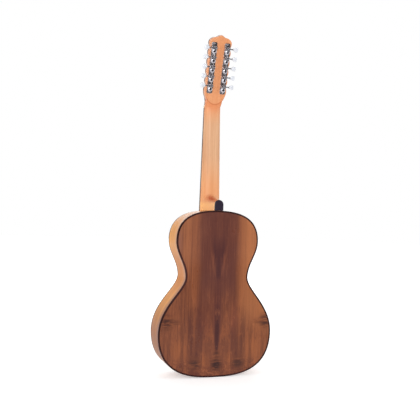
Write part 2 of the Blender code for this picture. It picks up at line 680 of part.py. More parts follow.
def make_fingerboard(look):
    """Fingerboard with its frets pressed in."""
    wide = neck_half_width(FINGERBOARD_END_Z)
    narrow = neck_half_width(NUT_Z)
    outline = [(wide, FINGERBOARD_END_Z), (narrow, NUT_Z), (-narrow, NUT_Z), (-wide, FINGERBOARD_END_Z)]
    board = prism("fingerboard", outline, FINGERBOARD_Y, FRONT_Y - GAP)
    frets = []
    for number in range(1, FRETS + 1):
        z = fret_z(number)
        half = neck_half_width(z) - FRET_INSET
        foot = FINGERBOARD_Y + GAP
        section = [(foot, -FRET_WIDTH / 2), (FRET_Y, -FRET_WIDTH / 5), (FRET_Y, FRET_WIDTH / 5),
                   (foot, FRET_WIDTH / 2)]
        rings = [[(x, y, z + step) for y, step in section] for x in (-half, half)]
        frets.append(loft("fret", rings))
    return finish(combine(board, "UNION", frets), look)


def strings():
    """Each string's side, place from the outside in, gauge, and X at the nut and at the saddle."""
    found = []
    for sign, gauges in ((1, TREBLE_GAUGES), (-1, BASS_GAUGES)):
        for k, gauge in enumerate(gauges):
            course = 2 - k // 2
            half = 0.5 if k % 2 == 0 else -0.5
            nut_x = sign * (course * NUT_COURSE_SPACING + half * NUT_PAIR_SPACING)
            saddle_x = sign * (course * SADDLE_COURSE_SPACING + half * SADDLE_PAIR_SPACING)
            found.append((sign, k, gauge, nut_x, saddle_x))
    return found


def nut_string_y():
    """Y of a string's middle as it crosses the nut."""
    return FRET_Y - STRING_RISE_AT_NUT


def make_nut(look):
    """Nut, a comb with one slot for each string."""
    foot = FRONT_Y - GAP
    crest = nut_string_y() - GAP
    profile = [(NUT_WIDTH / 2, foot), (-NUT_WIDTH / 2, foot), (-NUT_WIDTH / 2, crest + MM),
               (-NUT_WIDTH / 2 + MM, crest)]
    for _, _, gauge, x, _ in sorted(strings(), key=lambda string: string[3]):
        half = gauge / 2 + GAP
        floor = nut_string_y() + gauge / 2 + GAP
        profile += [(x - half, crest), (x - half, floor), (x + half, floor), (x + half, crest)]
    profile += [(NUT_WIDTH / 2 - MM, crest), (NUT_WIDTH / 2, crest + MM)]
    rings = [[(x, y, z) for x, y in profile] for z in (NUT_Z + GAP, NUT_END_Z)]
    return finish(loft("nut", rings), look)


def make_bridge(look):
    """Bridge with thin wings, the saddle's slot and a hole for each string."""
    face = FRONT_Y - GAP
    front, tail = SADDLE_Z + BRIDGE_FRONT, SADDLE_Z - BRIDGE_TAIL
    section = [
        (front, 0), (front, BRIDGE_HEIGHT - BRIDGE_CHAMFER), (front - BRIDGE_CHAMFER, BRIDGE_HEIGHT),
        (SADDLE_Z - BRIDGE_VALLEY_START, BRIDGE_HEIGHT),
        (SADDLE_Z - BRIDGE_VALLEY_START - BRIDGE_CHAMFER, BRIDGE_VALLEY_HEIGHT),
        (SADDLE_Z - BRIDGE_VALLEY_END, BRIDGE_VALLEY_HEIGHT), (SADDLE_Z - BRIDGE_VALLEY_END, BRIDGE_HEIGHT),
        (tail, BRIDGE_HEIGHT), (tail, 0),
    ]
    reach = BRIDGE_CENTRE_WIDTH / 2
    bridge = loft("bridge", [[(x, face - height, z) for z, height in section] for x in (-reach, reach)])
    middle, half = (front + tail) / 2, (front - tail) / 2 - MM
    end = BRIDGE_WIDTH / 2 - half / 2
    turns = [math.pi * (k / 6 - 0.5) for k in range(7)]
    cap = [(end + half / 2 * math.cos(turn), middle + half * math.sin(turn)) for turn in turns]
    wings = prism("wings", cap + [(-x, z) for x, z in reversed(cap)], face - BRIDGE_WING_HEIGHT,
                  face - 2 * SKIN)
    combine(bridge, "UNION", [wings])
    slot = SADDLE_THICKNESS / 2 + GAP
    seat_y = face - BRIDGE_HEIGHT + SADDLE_SEAT
    length = SADDLE_LENGTH / 2 + GAP
    cutters = [box("slot", (-length, face - SADDLE_HEIGHT, SADDLE_Z - slot),
                   (length, seat_y, SADDLE_Z + slot))]
    for _, _, _, _, x in strings():
        ring = circle(x, FRONT_Y - STRING_HOLE_HEIGHT, STRING_HOLE_RADIUS, 8)
        rings = [[(a, b, z) for a, b in ring] for z in (tail - MM, SADDLE_Z - BRIDGE_VALLEY_END + MM)]
        cutters.append(loft("string_hole", rings))
    return finish(combine(bridge, "DIFFERENCE", cutters), look)


def make_saddle(look):
    """Saddle, highest at its front edge, where the strings leave it."""
    foot = FRONT_Y - GAP - BRIDGE_HEIGHT + SADDLE_SEAT - GAP
    crest = FRONT_Y - SADDLE_HEIGHT
    half = SADDLE_THICKNESS / 2
    section = [(foot, SADDLE_Z - half), (crest + SADDLE_SLOPE, SADDLE_Z - half), (crest, SADDLE_Z + half),
               (foot, SADDLE_Z + half)]
    reach = SADDLE_LENGTH / 2
    return finish(loft("saddle", [[(x, y, z) for y, z in section] for x in (-reach, reach)]), look)


def turn_radius(gauge):
    """Radius of a string's turns round its post's waist, for turns with flat facets."""
    return clearance_radius(POST_WAIST_RADIUS + gauge / 2, RUNNING_GAP, STRING_TURN_POINTS)


def string_route(sign, place, gauge, nut_x, saddle_x):
    """Points from the ball end over saddle and nut to the last turn round the post."""
    hole_y = FRONT_Y - STRING_HOLE_HEIGHT
    route = [
        Vector((saddle_x, hole_y, SADDLE_Z - BRIDGE_TAIL - GAP - BALL_LENGTH)),
        Vector((saddle_x, hole_y, SADDLE_Z - BRIDGE_TAIL - GAP)),
        Vector((saddle_x, hole_y, SADDLE_Z - BRIDGE_TAIL - GAP / 2)),
        Vector((saddle_x, hole_y, SADDLE_Z - BRIDGE_VALLEY_END)),
        Vector((saddle_x, FRONT_Y - SADDLE_HEIGHT - GAP - gauge / 2, SADDLE_Z + SADDLE_THICKNESS / 2)),
        Vector((nut_x, nut_string_y(), NUT_END_Z)),
    ]
    radius = turn_radius(gauge)
    pitch = gauge + STRING_GAP
    post_t = post_ts()[place]
    last_out = VENEER_FACE - 3 * GAP - gauge / 2
    first_out = last_out - pitch * STRING_TURNS
    if place == 1:
        outer = (TREBLE_GAUGES if sign > 0 else BASS_GAUGES)[0]
        pass_x = POST_X - turn_radius(outer) - outer / 2 - STRING_GAP - gauge / 2
        route.append(head_to_world(sign * pass_x, first_out, post_ts()[0]))
    for k in range(STRING_TURNS * STRING_TURN_POINTS + 1):
        turn = math.pi - math.tau * k / STRING_TURN_POINTS
        route.append(head_to_world(sign * (POST_X + radius * math.cos(turn)),
                                   first_out + pitch * k / STRING_TURN_POINTS,
                                   post_t + radius * math.sin(turn)))
    return route


def least_gap(route, gauge):
    """Least distance between the skins of a route's turns, measured on points along it."""
    points = []
    lengths = []
    for start, end in zip(route, route[1:]):
        for k in range(4):
            points.append(start.lerp(end, k / 4))
            lengths.append((lengths[-1] if lengths else 0) + (end - start).length / 4)
    least = 1.0
    for i, here in enumerate(points):
        for j in range(i):
            if lengths[i] - lengths[j] > 3 * POST_WAIST_RADIUS + 2 * gauge:
                least = min(least, (here - points[j]).length - gauge)
    return least


def make_string(name, string, look):
    """One taut string: ball end, straight runs and its turns round the post."""
    sign, place, gauge, nut_x, saddle_x = string
    route = string_route(*string)
    curve = bpy.data.curves.new(name, "CURVE")
    curve.dimensions = "3D"
    curve.bevel_depth = gauge / 2
    curve.bevel_resolution = 1
    curve.use_fill_caps = True
    spline = curve.splines.new("POLY")
    spline.points.add(len(route) - 1)
    for k, point in enumerate(route):
        spline.points[k].co = (*point, 1)
        spline.points[k].radius = BALL_RADIUS / (gauge / 2) if k < 2 else 1
    made = bpy.data.objects.new(name, curve)
    bpy.context.scene.collection.objects.link(made)
    curve.materials.append(look)
    print(f"{name}: least gap between turns {least_gap(route[6:], gauge) / MM:.2f} mm")
    return made


def gear_outline():
    """Trapezoid teeth on the gear, with a space between two teeth at +Z."""
    root = GEAR_PITCH_RADIUS - TOOTH_FALL
    tip = GEAR_PITCH_RADIUS + TOOTH_RISE
    half = TOOTH_SHARE * CIRCULAR_PITCH / 2
    root_half = (half + TOOTH_TAPER * TOOTH_FALL / (TOOTH_FALL + TOOTH_RISE)) / GEAR_PITCH_RADIUS
    tip_half = (half - TOOTH_TAPER * TOOTH_RISE / (TOOTH_FALL + TOOTH_RISE)) / GEAR_PITCH_RADIUS
    outline = []
    for tooth in range(GEAR_TEETH):
        middle = math.pi / 2 - math.tau * (tooth + 0.5) / GEAR_TEETH
        for radius, turn in ((root, root_half), (tip, tip_half), (tip, -tip_half), (root, -root_half)):
            outline.append((radius * math.cos(middle + turn), radius * math.sin(middle + turn)))
    return outline


def make_post_mesh():
    """String post with its gear: its Y axis points out of the back of the head."""
    gear_low = WORM_AXIS_HEIGHT - GEAR_THICKNESS / 2
    gear_high = gear_low + GEAR_THICKNESS
    skew = CIRCULAR_PITCH / (math.tau * WORM_PITCH_RADIUS) / GEAR_PITCH_RADIUS
    rings = []
    for y in (gear_low, gear_high):
        turn = Matrix.Rotation(-skew * (y - WORM_AXIS_HEIGHT), 2)
        corners = [turn @ Vector(point) for point in gear_outline()]
        rings.append([(corner.x, y, corner.y) for corner in corners])
    gear = loft("gear", rings)
    front = VENEER_FACE - POST_RISE
    waist_high = VENEER_FACE - GAP
    waist_low = front + POST_HEAD
    profile = [
        (gear_high + SCREW_HEIGHT, GEAR_SCREW_RADIUS * 0.7),
        (gear_high + SCREW_HEIGHT * 0.6, GEAR_SCREW_RADIUS), (gear_high - MM, GEAR_SCREW_RADIUS),
        (WORM_AXIS_HEIGHT, HUB_RADIUS),
        (PLATE_METAL + 2 * GAP, HUB_RADIUS), (PLATE_METAL + 2 * GAP, POST_RADIUS),
        (waist_high, POST_RADIUS), (waist_high - 0.4 * MM, POST_WAIST_RADIUS),
        (waist_low + 0.4 * MM, POST_WAIST_RADIUS), (waist_low, POST_RADIUS),
        (front + 0.6 * MM, POST_RADIUS), (front, POST_RADIUS - 0.7 * MM),
    ]
    post = loft("post", [[(x, y, z) for x, z in circle(0, 0, radius, 8)] for y, radius in profile])
    combine(post, "UNION", [gear])
    mesh = post.data
    bpy.data.objects.remove(post)
    return mesh


def make_worm_mesh():
    """Worm shaft along +X, outwards: inner journal, collar, thread, collar and the button's end."""
    step = CIRCULAR_PITCH / WORM_SIDES
    tip = WORM_PITCH_RADIUS + TOOTH_RISE
    root = WORM_PITCH_RADIUS - TOOTH_FALL
    half = WORM_TURNS * WORM_SIDES // 2
    inner_ear = -EAR_SPAN / 2 + EAR_THICKNESS / 2 + GAP
    outer_ear = EAR_SPAN / 2 - EAR_THICKNESS / 2 - GAP
    thread_end = half * step + 0.2 * MM
    profile = [(inner_ear - EAR_THICKNESS - 2 * GAP, SHAFT_RADIUS), (inner_ear, SHAFT_RADIUS),
               (inner_ear, COLLAR_RADIUS), (-thread_end, COLLAR_RADIUS)]
    rings = [[(x, radius) for _ in range(WORM_SIDES)] for x, radius in profile]
    for k in range(-half, half + 1):
        ring = []
        for i in range(WORM_SIDES):
            phase = (k - i) % WORM_SIDES
            ring.append((k * step, tip if phase in (0, 1, WORM_SIDES - 1) else root))
        rings.append(ring)
    ends = [(thread_end, COLLAR_RADIUS), (outer_ear, COLLAR_RADIUS), (outer_ear, SHAFT_RADIUS),
            (BUTTON_START_X - POST_X + BUTTON_BORE - GAP, SHAFT_RADIUS)]
    rings += [[(x, radius) for _ in range(WORM_SIDES)] for x, radius in ends]
    skins = []
    for ring in rings:
        # Side 0 faces the gear, towards -Z, and the sides go round +X by the right-hand rule
        skins.append([(x, radius * math.sin(math.tau * i / WORM_SIDES),
                       -radius * math.cos(math.tau * i / WORM_SIDES)) for i, (x, radius) in enumerate(ring)])
    worm = loft("worm", skins)
    mesh = worm.data
    bpy.data.objects.remove(worm)
    return mesh


def make_button_mesh():
    """Fan-shaped button, bored for the shaft, with +X outwards."""
    start = BUTTON_START_X - POST_X
    bore = clearance_radius(SHAFT_RADIUS, GAP, 10)
    rings = [[(start + BUTTON_BORE, y, z) for y, z in circle(0, 0, bore, 10)],
             [(start, y, z) for y, z in circle(0, 0, bore, 10)]]
    for along, wide, thick in BUTTON_SECTIONS:
        rings.append([(start + BUTTON_LENGTH * along, y * thick * BUTTON_THICKNESS / 2,
                       z * wide * BUTTON_WIDTH / 2) for y, z in circle(0, 0, 1, 10)])
    button = loft("button", rings)
    mesh = button.data
    bpy.data.objects.remove(button)
    return mesh


def place(name, mesh, look, parent, location, flip=False, smooth_below=40):
    """Object of a shared mesh in the head's frame, turned to face the other side if flipped."""
    made = bpy.data.objects.new(name, mesh)
    bpy.context.scene.collection.objects.link(made)
    made.parent = parent
    made.location = location
    made.rotation_euler = (0, 0, math.pi if flip else 0)
    return finish(made, look, smooth_below)


def ear_plate(x, profile, hole, frame):
    """Ear square to the X axis, from its (Z, Y) profile and hole."""
    ear = prism("ear", profile, -EAR_THICKNESS / 2, EAR_THICKNESS / 2, [hole])
    turn = Matrix(((0, 1, 0, x), (0, 0, 1, 0), (1, 0, 0, 0), (0, 0, 0, 1)))
    ear.data.transform(turn)
    ear.parent = frame
    return ear


def make_tuner_plate(name, sign, look, frame):
    """Strip plate of one side with two ears for each worm shaft, and its screws."""
    low = post_ts()[0] - TUNER_PLATE_START
    high = post_ts()[-1] + TUNER_PLATE_END
    half = TUNER_PLATE_WIDTH / 2
    bend = half / 2
    turns = [math.pi / 2 * k / 4 for k in range(5)]
    corner = [(half - bend + bend * math.cos(turn), bend * math.sin(turn)) for turn in turns]
    top = [(x, high - bend + z) for x, z in corner] + [(-x, high - bend + z) for x, z in reversed(corner)]
    bottom = [(-x, low + bend - z) for x, z in corner] + [(x, low + bend - z) for x, z in reversed(corner)]
    outline = [(sign * POST_X + x, z) for x, z in top + bottom]
    bore = clearance_radius(POST_RADIUS, RUNNING_GAP, 8)
    holes = [circle(sign * POST_X, t, bore, 8) for t in post_ts()]
    plate = prism(name, outline, GAP, GAP + PLATE_METAL, holes, frame)
    tools = []
    shaft_bore = clearance_radius(SHAFT_RADIUS, RUNNING_GAP, 6)
    for t in post_ts():
        axis_t = t + WORM_OFFSET
        for middle in (-EAR_SPAN / 2, EAR_SPAN / 2):
            x = sign * POST_X + middle
            crest = [(axis_t + EAR_RADIUS * math.cos(turn), WORM_AXIS_HEIGHT + EAR_RADIUS * math.sin(turn))
                     for turn in (math.pi * k / 4 for k in range(5))]
            profile = [(axis_t + EAR_RADIUS, GAP + PLATE_METAL / 2)] + crest
            profile += [(axis_t - EAR_RADIUS, GAP + PLATE_METAL / 2)]
            bore_loop = [(axis_t + z, WORM_AXIS_HEIGHT + y) for z, y in circle(0, 0, shaft_bore, 6)]
            tools.append(ear_plate(x, profile, bore_loop, frame))
    screws = [low + bend, high - bend]
    screws += [(t + WORM_OFFSET + t + TUNER_PITCH) / 2 for t in post_ts()[1:-1:2]]
    face = GAP + PLATE_METAL
    screw = ((face - PLATE_METAL / 2, SCREW_RADIUS), (face + SCREW_HEIGHT / 2, SCREW_RADIUS),
             (face + SCREW_HEIGHT, SCREW_RADIUS / 2))
    for t in screws:
        rings = [[(x, y, z) for x, z in circle(sign * POST_X, t, radius, 6)] for y, radius in screw]
        tools.append(loft("screw", rings, parent=frame))
    return finish(combine(plate, "UNION", tools), look, 40)


def make_tuners(frame, looks):
    """Ten tuners: posts with their gears, worm shafts, buttons and the two strip plates."""
    post_mesh = make_post_mesh()
    worm_mesh = make_worm_mesh()
    button_mesh = make_button_mesh()
    for side, sign in (("treble", 1), ("bass", -1)):
        make_tuner_plate(f"{side}_tuner_plate", sign, looks["nickel"], frame)
        for number, t in enumerate(post_ts(), 1):
            axis = (sign * POST_X, WORM_AXIS_HEIGHT, t + WORM_OFFSET)
            place(f"{side}_post_{number}", post_mesh, looks["brass"], frame, (sign * POST_X, 0, t))
            place(f"{side}_worm_{number}", worm_mesh, looks["steel"], frame, axis, sign < 0)
            place(f"{side}_button_{number}", button_mesh, looks["pearloid"], frame, axis, sign < 0)


def clear_scene():
    """Remove the objects that the scene starts with."""
    for made in list(bpy.data.objects):
        bpy.data.objects.remove(made, do_unlink=True)


def build():
    """Make the whole instrument."""
    clear_scene()
    looks = {
        "cedar": material("cedar", (0.62, 0.33, 0.13), 0.35),
        "walnut": material("walnut", (0.20, 0.075, 0.03), 0.25),
        "side_wood": material("side_wood", (0.42, 0.18, 0.06), 0.25),
        "spruce": material("spruce", (0.80, 0.58, 0.33), 0.35),
        "block_wood": material("block_wood", (0.70, 0.50, 0.30), 0.7),
        "ebony": material("ebony", (0.03, 0.022, 0.02), 0.4),
        "bone": material("bone", (0.85, 0.80, 0.68), 0.4),
        "nickel": material("nickel", (0.75, 0.74, 0.72), 0.2, 1.0),
        "brass": material("brass", (0.72, 0.60, 0.38), 0.25, 1.0),
        "steel": material("steel", (0.55, 0.55, 0.56), 0.25, 1.0),
        "pearloid": material("pearloid", (0.90, 0.89, 0.86), 0.2),
    }
    make_soundboard(looks["spruce"])
    make_rosette(looks["ebony"])
    make_back(looks["walnut"])
    make_blocks(looks["block_wood"])
    make_side("treble_side", 1, looks["side_wood"])
    make_side("bass_side", -1, looks["side_wood"])
    make_bindings(looks["ebony"])
    _, frame = make_neck(looks["cedar"])
    make_heel_cap(looks["ebony"])
    make_veneer(looks["ebony"], frame)
    make_fingerboard(looks["ebony"])
    make_nut(looks["bone"])
    make_bridge(looks["ebony"])
    make_saddle(looks["bone"])
    make_tuners(frame, looks)
    for string in strings():
        side = "treble" if string[0] > 0 else "bass"
        make_string(f"{side}_string_{string[1] + 1}", string, looks["steel"])


build()
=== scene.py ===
"""Viola caipira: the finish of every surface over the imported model, the studio and the camera.

Metres, +Z up along the neck, soundboard towards -Y, back towards +Y, treble side towards +X.
"""

from math import copysign, cos, exp, pi, radians, sin, sqrt, tan, tau

import bmesh
import bpy
from mathutils import Matrix, Vector


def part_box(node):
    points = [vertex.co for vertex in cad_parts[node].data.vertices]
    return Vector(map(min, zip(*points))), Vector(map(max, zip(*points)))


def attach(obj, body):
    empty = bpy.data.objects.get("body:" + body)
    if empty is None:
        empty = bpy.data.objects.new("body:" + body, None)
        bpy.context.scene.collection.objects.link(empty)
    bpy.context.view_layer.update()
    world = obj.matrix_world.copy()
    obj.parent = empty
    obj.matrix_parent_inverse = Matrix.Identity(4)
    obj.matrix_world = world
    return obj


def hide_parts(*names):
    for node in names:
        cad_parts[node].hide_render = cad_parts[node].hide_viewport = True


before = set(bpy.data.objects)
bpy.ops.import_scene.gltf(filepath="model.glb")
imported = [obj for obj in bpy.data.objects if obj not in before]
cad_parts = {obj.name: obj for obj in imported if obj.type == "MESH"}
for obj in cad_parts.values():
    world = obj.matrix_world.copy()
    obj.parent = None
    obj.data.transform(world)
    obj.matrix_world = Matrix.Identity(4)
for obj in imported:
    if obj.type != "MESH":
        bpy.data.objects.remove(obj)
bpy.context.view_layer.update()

MM = 0.001
ROOT = "instrument"
SHARP_FROM = 40
ROUND_SIDES = 32
SOUNDHOLE_SIDES = 96
ROSETTE_SIDES = 128

# Clearances, as in the solids
GAP = 0.3 * MM
RUNNING_GAP = GAP
STRING_GAP = 0.45 * MM

# Body, whose depth and length come from the frame
BACK_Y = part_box("back_binding")[1].y
FRONT_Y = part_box("front_binding")[0].y
BODY_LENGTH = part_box("back_binding")[1].z
UPPER_BOUT_WIDTH = 232.4 * MM
UPPER_BOUT_Z = 366.6 * MM
WAIST_WIDTH = 176 * MM
WAIST_Z = 269.8 * MM
LOWER_BOUT_WIDTH = 319.6 * MM
LOWER_BOUT_Z = 119.2 * MM
TOP_REACH = 69 * MM
UPPER_BOUT_RISE = 63.1 * MM
UPPER_BOUT_FALL = 34.7 * MM
WAIST_RISE = 35.9 * MM
WAIST_FALL = 35.3 * MM
LOWER_BOUT_RISE = 73.1 * MM
LOWER_BOUT_FALL = 118.9 * MM
BOTTOM_REACH = 49.7 * MM
OUTLINE_STEPS = (30, 22, 26, 40)
PLATE_THICKNESS = 3 * MM
SIDE_THICKNESS = 2.2 * MM
BINDING_DEPTH = 5.5 * MM
BINDING_ROUND = 0.4 * MM
PURFLING_WIDTH = 2.2 * MM
PURFLING_DEPTH = 1.2 * MM
LINING_WIDTH = 6 * MM
LINING_DEPTH = 14 * MM
BRACE_WIDTH = 7 * MM
BRACE_HEIGHT = 12 * MM
FAN_BRACE_WIDTH = 5 * MM
FAN_BRACE_HEIGHT = 6 * MM
FAN_SPREAD = radians(11)
FAN_TOP_SHARE = 0.4
BRACE_CLEARANCE = 3 * MM
FAN_CLEARANCE = 12 * MM
END_BLOCK_LENGTH = 16 * MM
SOUNDHOLE_RADIUS = 41 * MM
ROSETTE_MARGIN = 4 * MM
ROSETTE_WIDTH = 9 * MM
ROSETTE_THICKNESS = 1.2 * MM
ROSETTE_INNER = SOUNDHOLE_RADIUS + ROSETTE_MARGIN
ROSETTE_WEDGES = 96

# Neck and fingerboard
SCALE_LENGTH = 580 * MM
NUT_WIDTH = 46.4 * MM
NECK_WIDTH_AT_BODY = 57 * MM
NECK_DEPTH_AT_NUT = 17 * MM
NECK_DEPTH_AT_HEEL = 20 * MM
HEEL_RISE = 29 * MM
HEEL_SWEEP = 18 * MM
HEEL_CAP_WIDTH = 25 * MM
HEEL_CAP_THICKNESS = 3 * MM
HEEL_FLARE = 16 * MM
TENON_WIDTH = 20 * MM
TENON_LENGTH = 25 * MM
SHAFT_RUN_OUT = 16 * MM
SHAFT_FULLNESS = 2.3
HEAD_FULLNESS = 2.8
HEAD_RUN_OUT = 22 * MM
NECK_VOXEL = 0.9 * MM
NECK_SMOOTHING = 6
NECK_FACE_SHARE = 0.4
FINGERBOARD_THICKNESS = 6 * MM
FINGERBOARD_OVERHANG = 5 * MM
FRETS = 19
FRET_WIDTH = 2 * MM
FRET_HEIGHT = 1 * MM
FRET_INSET = 0.6 * MM
DOT_FRETS = (5, 7, 10, 12, 12, 15, 17)
DOT_RADIUS = 2.6 * MM
NUT_THICKNESS = 5 * MM

# Head
HEAD_ANGLE = radians(16.1)
HEAD_LENGTH = 197 * MM
HEAD_HALF_WIDTH = 31.3 * MM
HEAD_NECK_HALF_WIDTH = 23 * MM
HEAD_FLARE_START = 9 * MM
HEAD_FOOT_OVERLAP = 2 * MM
HEAD_STEPS = 16
SCALLOP_DEPTH = 3.8 * MM
SCALLOP_SHARPNESS = 1.5
CROWN_CUSP_X = 11.5 * MM
CROWN_CUSP_DROP = 6.3 * MM
CROWN_POINT = 1.15
VENEER_THICKNESS = 1.8 * MM
VENEER_START = 1.5 * MM
HEAD_LAYER = 4 * MM

# Tuners: a profile has its heights in mm or shares of a length, and shares of the radius or half size
TUNERS = 5
FIRST_POST_T = 49.9 * MM
TUNER_PITCH = 25.74 * MM
POST_X = 18.9 * MM
POST_RADIUS = 3 * MM
POST_WAIST_RADIUS = 2.6 * MM
POST_RISE = 9 * MM
POST_HEAD = 3 * MM
POST_EDGE = 0.2 * MM
HUB_RADIUS = 3.6 * MM
GEAR_TEETH = 14
GEAR_PITCH_RADIUS = 6 * MM
GEAR_THICKNESS = 4 * MM
WORM_PITCH_RADIUS = 3 * MM
TOOTH_RISE = 0.7 * MM
TOOTH_FALL = 1 * MM
TOOTH_SHARE = 0.46
TOOTH_TAPER = 0.3 * MM
WORM_AXIS_HEIGHT = 6 * MM
WORM_TURNS = 2
THREAD_CREST = 6
THREAD_SHARE = 0.3
COLLAR_RADIUS = 2.6 * MM
SHAFT_RADIUS = 1.75 * MM
PLATE_METAL = 1.2 * MM
TUNER_PLATE_WIDTH = 16 * MM
TUNER_PLATE_START = 12 * MM
TUNER_PLATE_END = 24.2 * MM
EAR_THICKNESS = 1.4 * MM
EAR_SPAN = 13 * MM
EAR_RADIUS = 3.8 * MM
SCREW_RADIUS = 2.2 * MM
SCREW_PROFILE = ((-0.2, 1), (0.15, 1), (0.75, 0.82), (1.1, 0.5), (1.2, 0.2))
GEAR_DISH = 1.1 * MM
GEAR_SCREW_RADIUS = 3.5 * MM
GEAR_SCREW_RISE = 1.5 * MM
SCREW_TURNS = (0.4, 1.3, 2.2, 0.9)
BUTTON_START_X = 35 * MM
BUTTON_LENGTH = 13.5 * MM
BUTTON_WIDTH = 13.6 * MM
BUTTON_THICKNESS = 7 * MM
BUTTON_BORE = 8 * MM
BUTTON_SIDES = 36
BUTTON_PROFILE = (
    (0, 0.46, 0.70), (0.02, 0.51, 0.76), (0.07, 0.55, 0.82), (0.14, 0.60, 0.87), (0.24, 0.69, 0.93),
    (0.34, 0.79, 0.98), (0.45, 0.89, 1), (0.56, 0.965, 0.995), (0.66, 1, 0.97), (0.75, 0.985, 0.92),
    (0.84, 0.92, 0.85), (0.91, 0.82, 0.75), (0.96, 0.69, 0.61), (0.99, 0.5, 0.42), (1, 0.25, 0.2))

# Bridge and strings
BRIDGE_CENTRE_WIDTH = 76 * MM
BRIDGE_WIDTH = 150 * MM
BRIDGE_WING_HEIGHT = 4 * MM
BRIDGE_HEIGHT = 8 * MM
BRIDGE_VALLEY_HEIGHT = 4.6 * MM
BRIDGE_FRONT = 8 * MM
BRIDGE_VALLEY_START = 4 * MM
BRIDGE_VALLEY_END = 14 * MM
BRIDGE_TAIL = 22 * MM
BRIDGE_CHAMFER = 2 * MM
STRING_HOLE_HEIGHT = 5.6 * MM
STRING_HOLE_RADIUS = 1 * MM
SADDLE_HEIGHT = 11 * MM
SADDLE_THICKNESS = 3 * MM
SADDLE_LENGTH = 66 * MM
SADDLE_SLOPE = 1.5 * MM
SADDLE_SEAT = 3.6 * MM
NUT_COURSE_SPACING = 9.2 * MM
NUT_PAIR_SPACING = 2.6 * MM
SADDLE_COURSE_SPACING = 13.5 * MM
SADDLE_PAIR_SPACING = 4 * MM
STRING_RISE_AT_NUT = 0.8 * MM
STRING_TURNS = 2
STRING_TURN_POINTS = 24
BALL_RADIUS = 1.6 * MM
BALL_LENGTH = 3.4 * MM
TREBLE_GAUGES = (0.28 * MM, 0.28 * MM, 0.36 * MM, 0.36 * MM, 0.25 * MM)
BASS_GAUGES = (0.81 * MM, 0.41 * MM, 0.66 * MM, 0.30 * MM, 0.56 * MM)
WOUND_FROM = 0.5 * MM

# Figure of the woods: each spot has its X, Z and two radii, and then its strength and colour
FLAME_Z = 0.268
LOBE_X = 0.025
BOARD_JOINT_X = -0.0033
# place and bow of the painted shade where the head meets the shaft
CREASE_SHADE_Z = 0.748
CREASE_SHADE_BOW = 24
EYES = ((0.0, 0.034, 0.026, 0.03, 0.95), (0.0, 0.062, 0.018, 0.016, 0.6), (0.062, 0.036, 0.03, 0.024, 0.8),
        (0.14, 0.15, 0.026, 0.03, 0.85), (0.118, 0.15, 0.022, 0.012, 0.5))
PALE_SPOTS = ((0.034, 0.045, 0.02, 0.035), (0.105, 0.075, 0.03, 0.045))
BOARD_SPOTS = ((0.114, 0.36, 0.02, 0.08, 0.45, (122, 84, 80)),
               (0.032, 0.165, 0.042, 0.09, 0.42, (92, 48, 42)),
               (-0.052, 0.16, 0.02, 0.06, 0.3, (154, 86, 60)))

# Studio, whose lights have a place, a size and a power, and camera, whose azimuth turns from +Y towards +X
FLOOR_GAP = 0.5 * MM
FLOOR_THICKNESS = 0.02
FLOOR_REACH = 6
FLOOR_FRONT = 0.85
FLOOR_GLOW = 0.42
FAR_FLOOR_GLOW = 0.75
ROOM_DARK = 0.03
WORLD_LIGHT = 0.6
LIGHT_TARGET = (0, 0, 0.45)
LIGHTS = (("key", (1.0, 2.9, 1.05), 1.6, 41), ("side", (2.8, 0.3, 0.75), 1.8, 16),
          ("fill", (-2.6, 1.2, 0.9), 2.0, 14), ("front", (-0.6, -2.6, 1.3), 2.0, 22))
CAMERA_TARGET = (0.026, 0.0485, 0.451)
CAMERA_DISTANCE = 1.759
CAMERA_AZIMUTH = 18.34
CAMERA_ELEVATION = -0.32
CAMERA_ROLL = 1.58
CAMERA_LENS = 55.97
CAMERA_SENSOR = 36

# Places that follow from the sizes
NUT_Z = BODY_LENGTH + SCALE_LENGTH / 2
SADDLE_Z = NUT_Z - SCALE_LENGTH
PLATE_INSET = SIDE_THICKNESS + GAP
LINING_INSET = SIDE_THICKNESS + LINING_WIDTH
FRONT_INNER_Y = FRONT_Y + PLATE_THICKNESS
BACK_INNER_Y = BACK_Y - PLATE_THICKNESS
FINGERBOARD_Y = FRONT_Y - GAP - FINGERBOARD_THICKNESS
NUT_STRING_Y = FINGERBOARD_Y - FRET_HEIGHT - STRING_RISE_AT_NUT
NUT_END_Z = NUT_Z + GAP + NUT_THICKNESS
HEAD_BREAK_Z = NUT_END_Z + GAP
HEAD_WOOD = (NECK_DEPTH_AT_NUT + (HEAD_BREAK_Z - NUT_Z) * tan(HEAD_ANGLE)) * cos(HEAD_ANGLE)
VENEER_FACE = -(HEAD_WOOD + GAP + VENEER_THICKNESS)
FINGERBOARD_END_Z = NUT_Z - SCALE_LENGTH * (1 - 0.5 ** (FRETS / 12)) - FINGERBOARD_OVERHANG
SOUNDHOLE_Z = FINGERBOARD_END_Z - 2 * GAP - SOUNDHOLE_RADIUS
POST_TS = [FIRST_POST_T + TUNER_PITCH * k for k in range(TUNERS)]
WORM_OFFSET = GEAR_PITCH_RADIUS + WORM_PITCH_RADIUS
CIRCULAR_PITCH = tau * GEAR_PITCH_RADIUS / GEAR_TEETH


# Mesh tools

def put(name, data):
    """Object of a mesh, curve, light or camera, in the scene."""
    made = bpy.data.objects.new(name, data)
    bpy.context.scene.collection.objects.link(made)
    return made


def link(name, work):
    """Object of a work mesh."""
    mesh = bpy.data.meshes.new(name)
    work.to_mesh(mesh)
    work.free()
    return put(name, mesh)


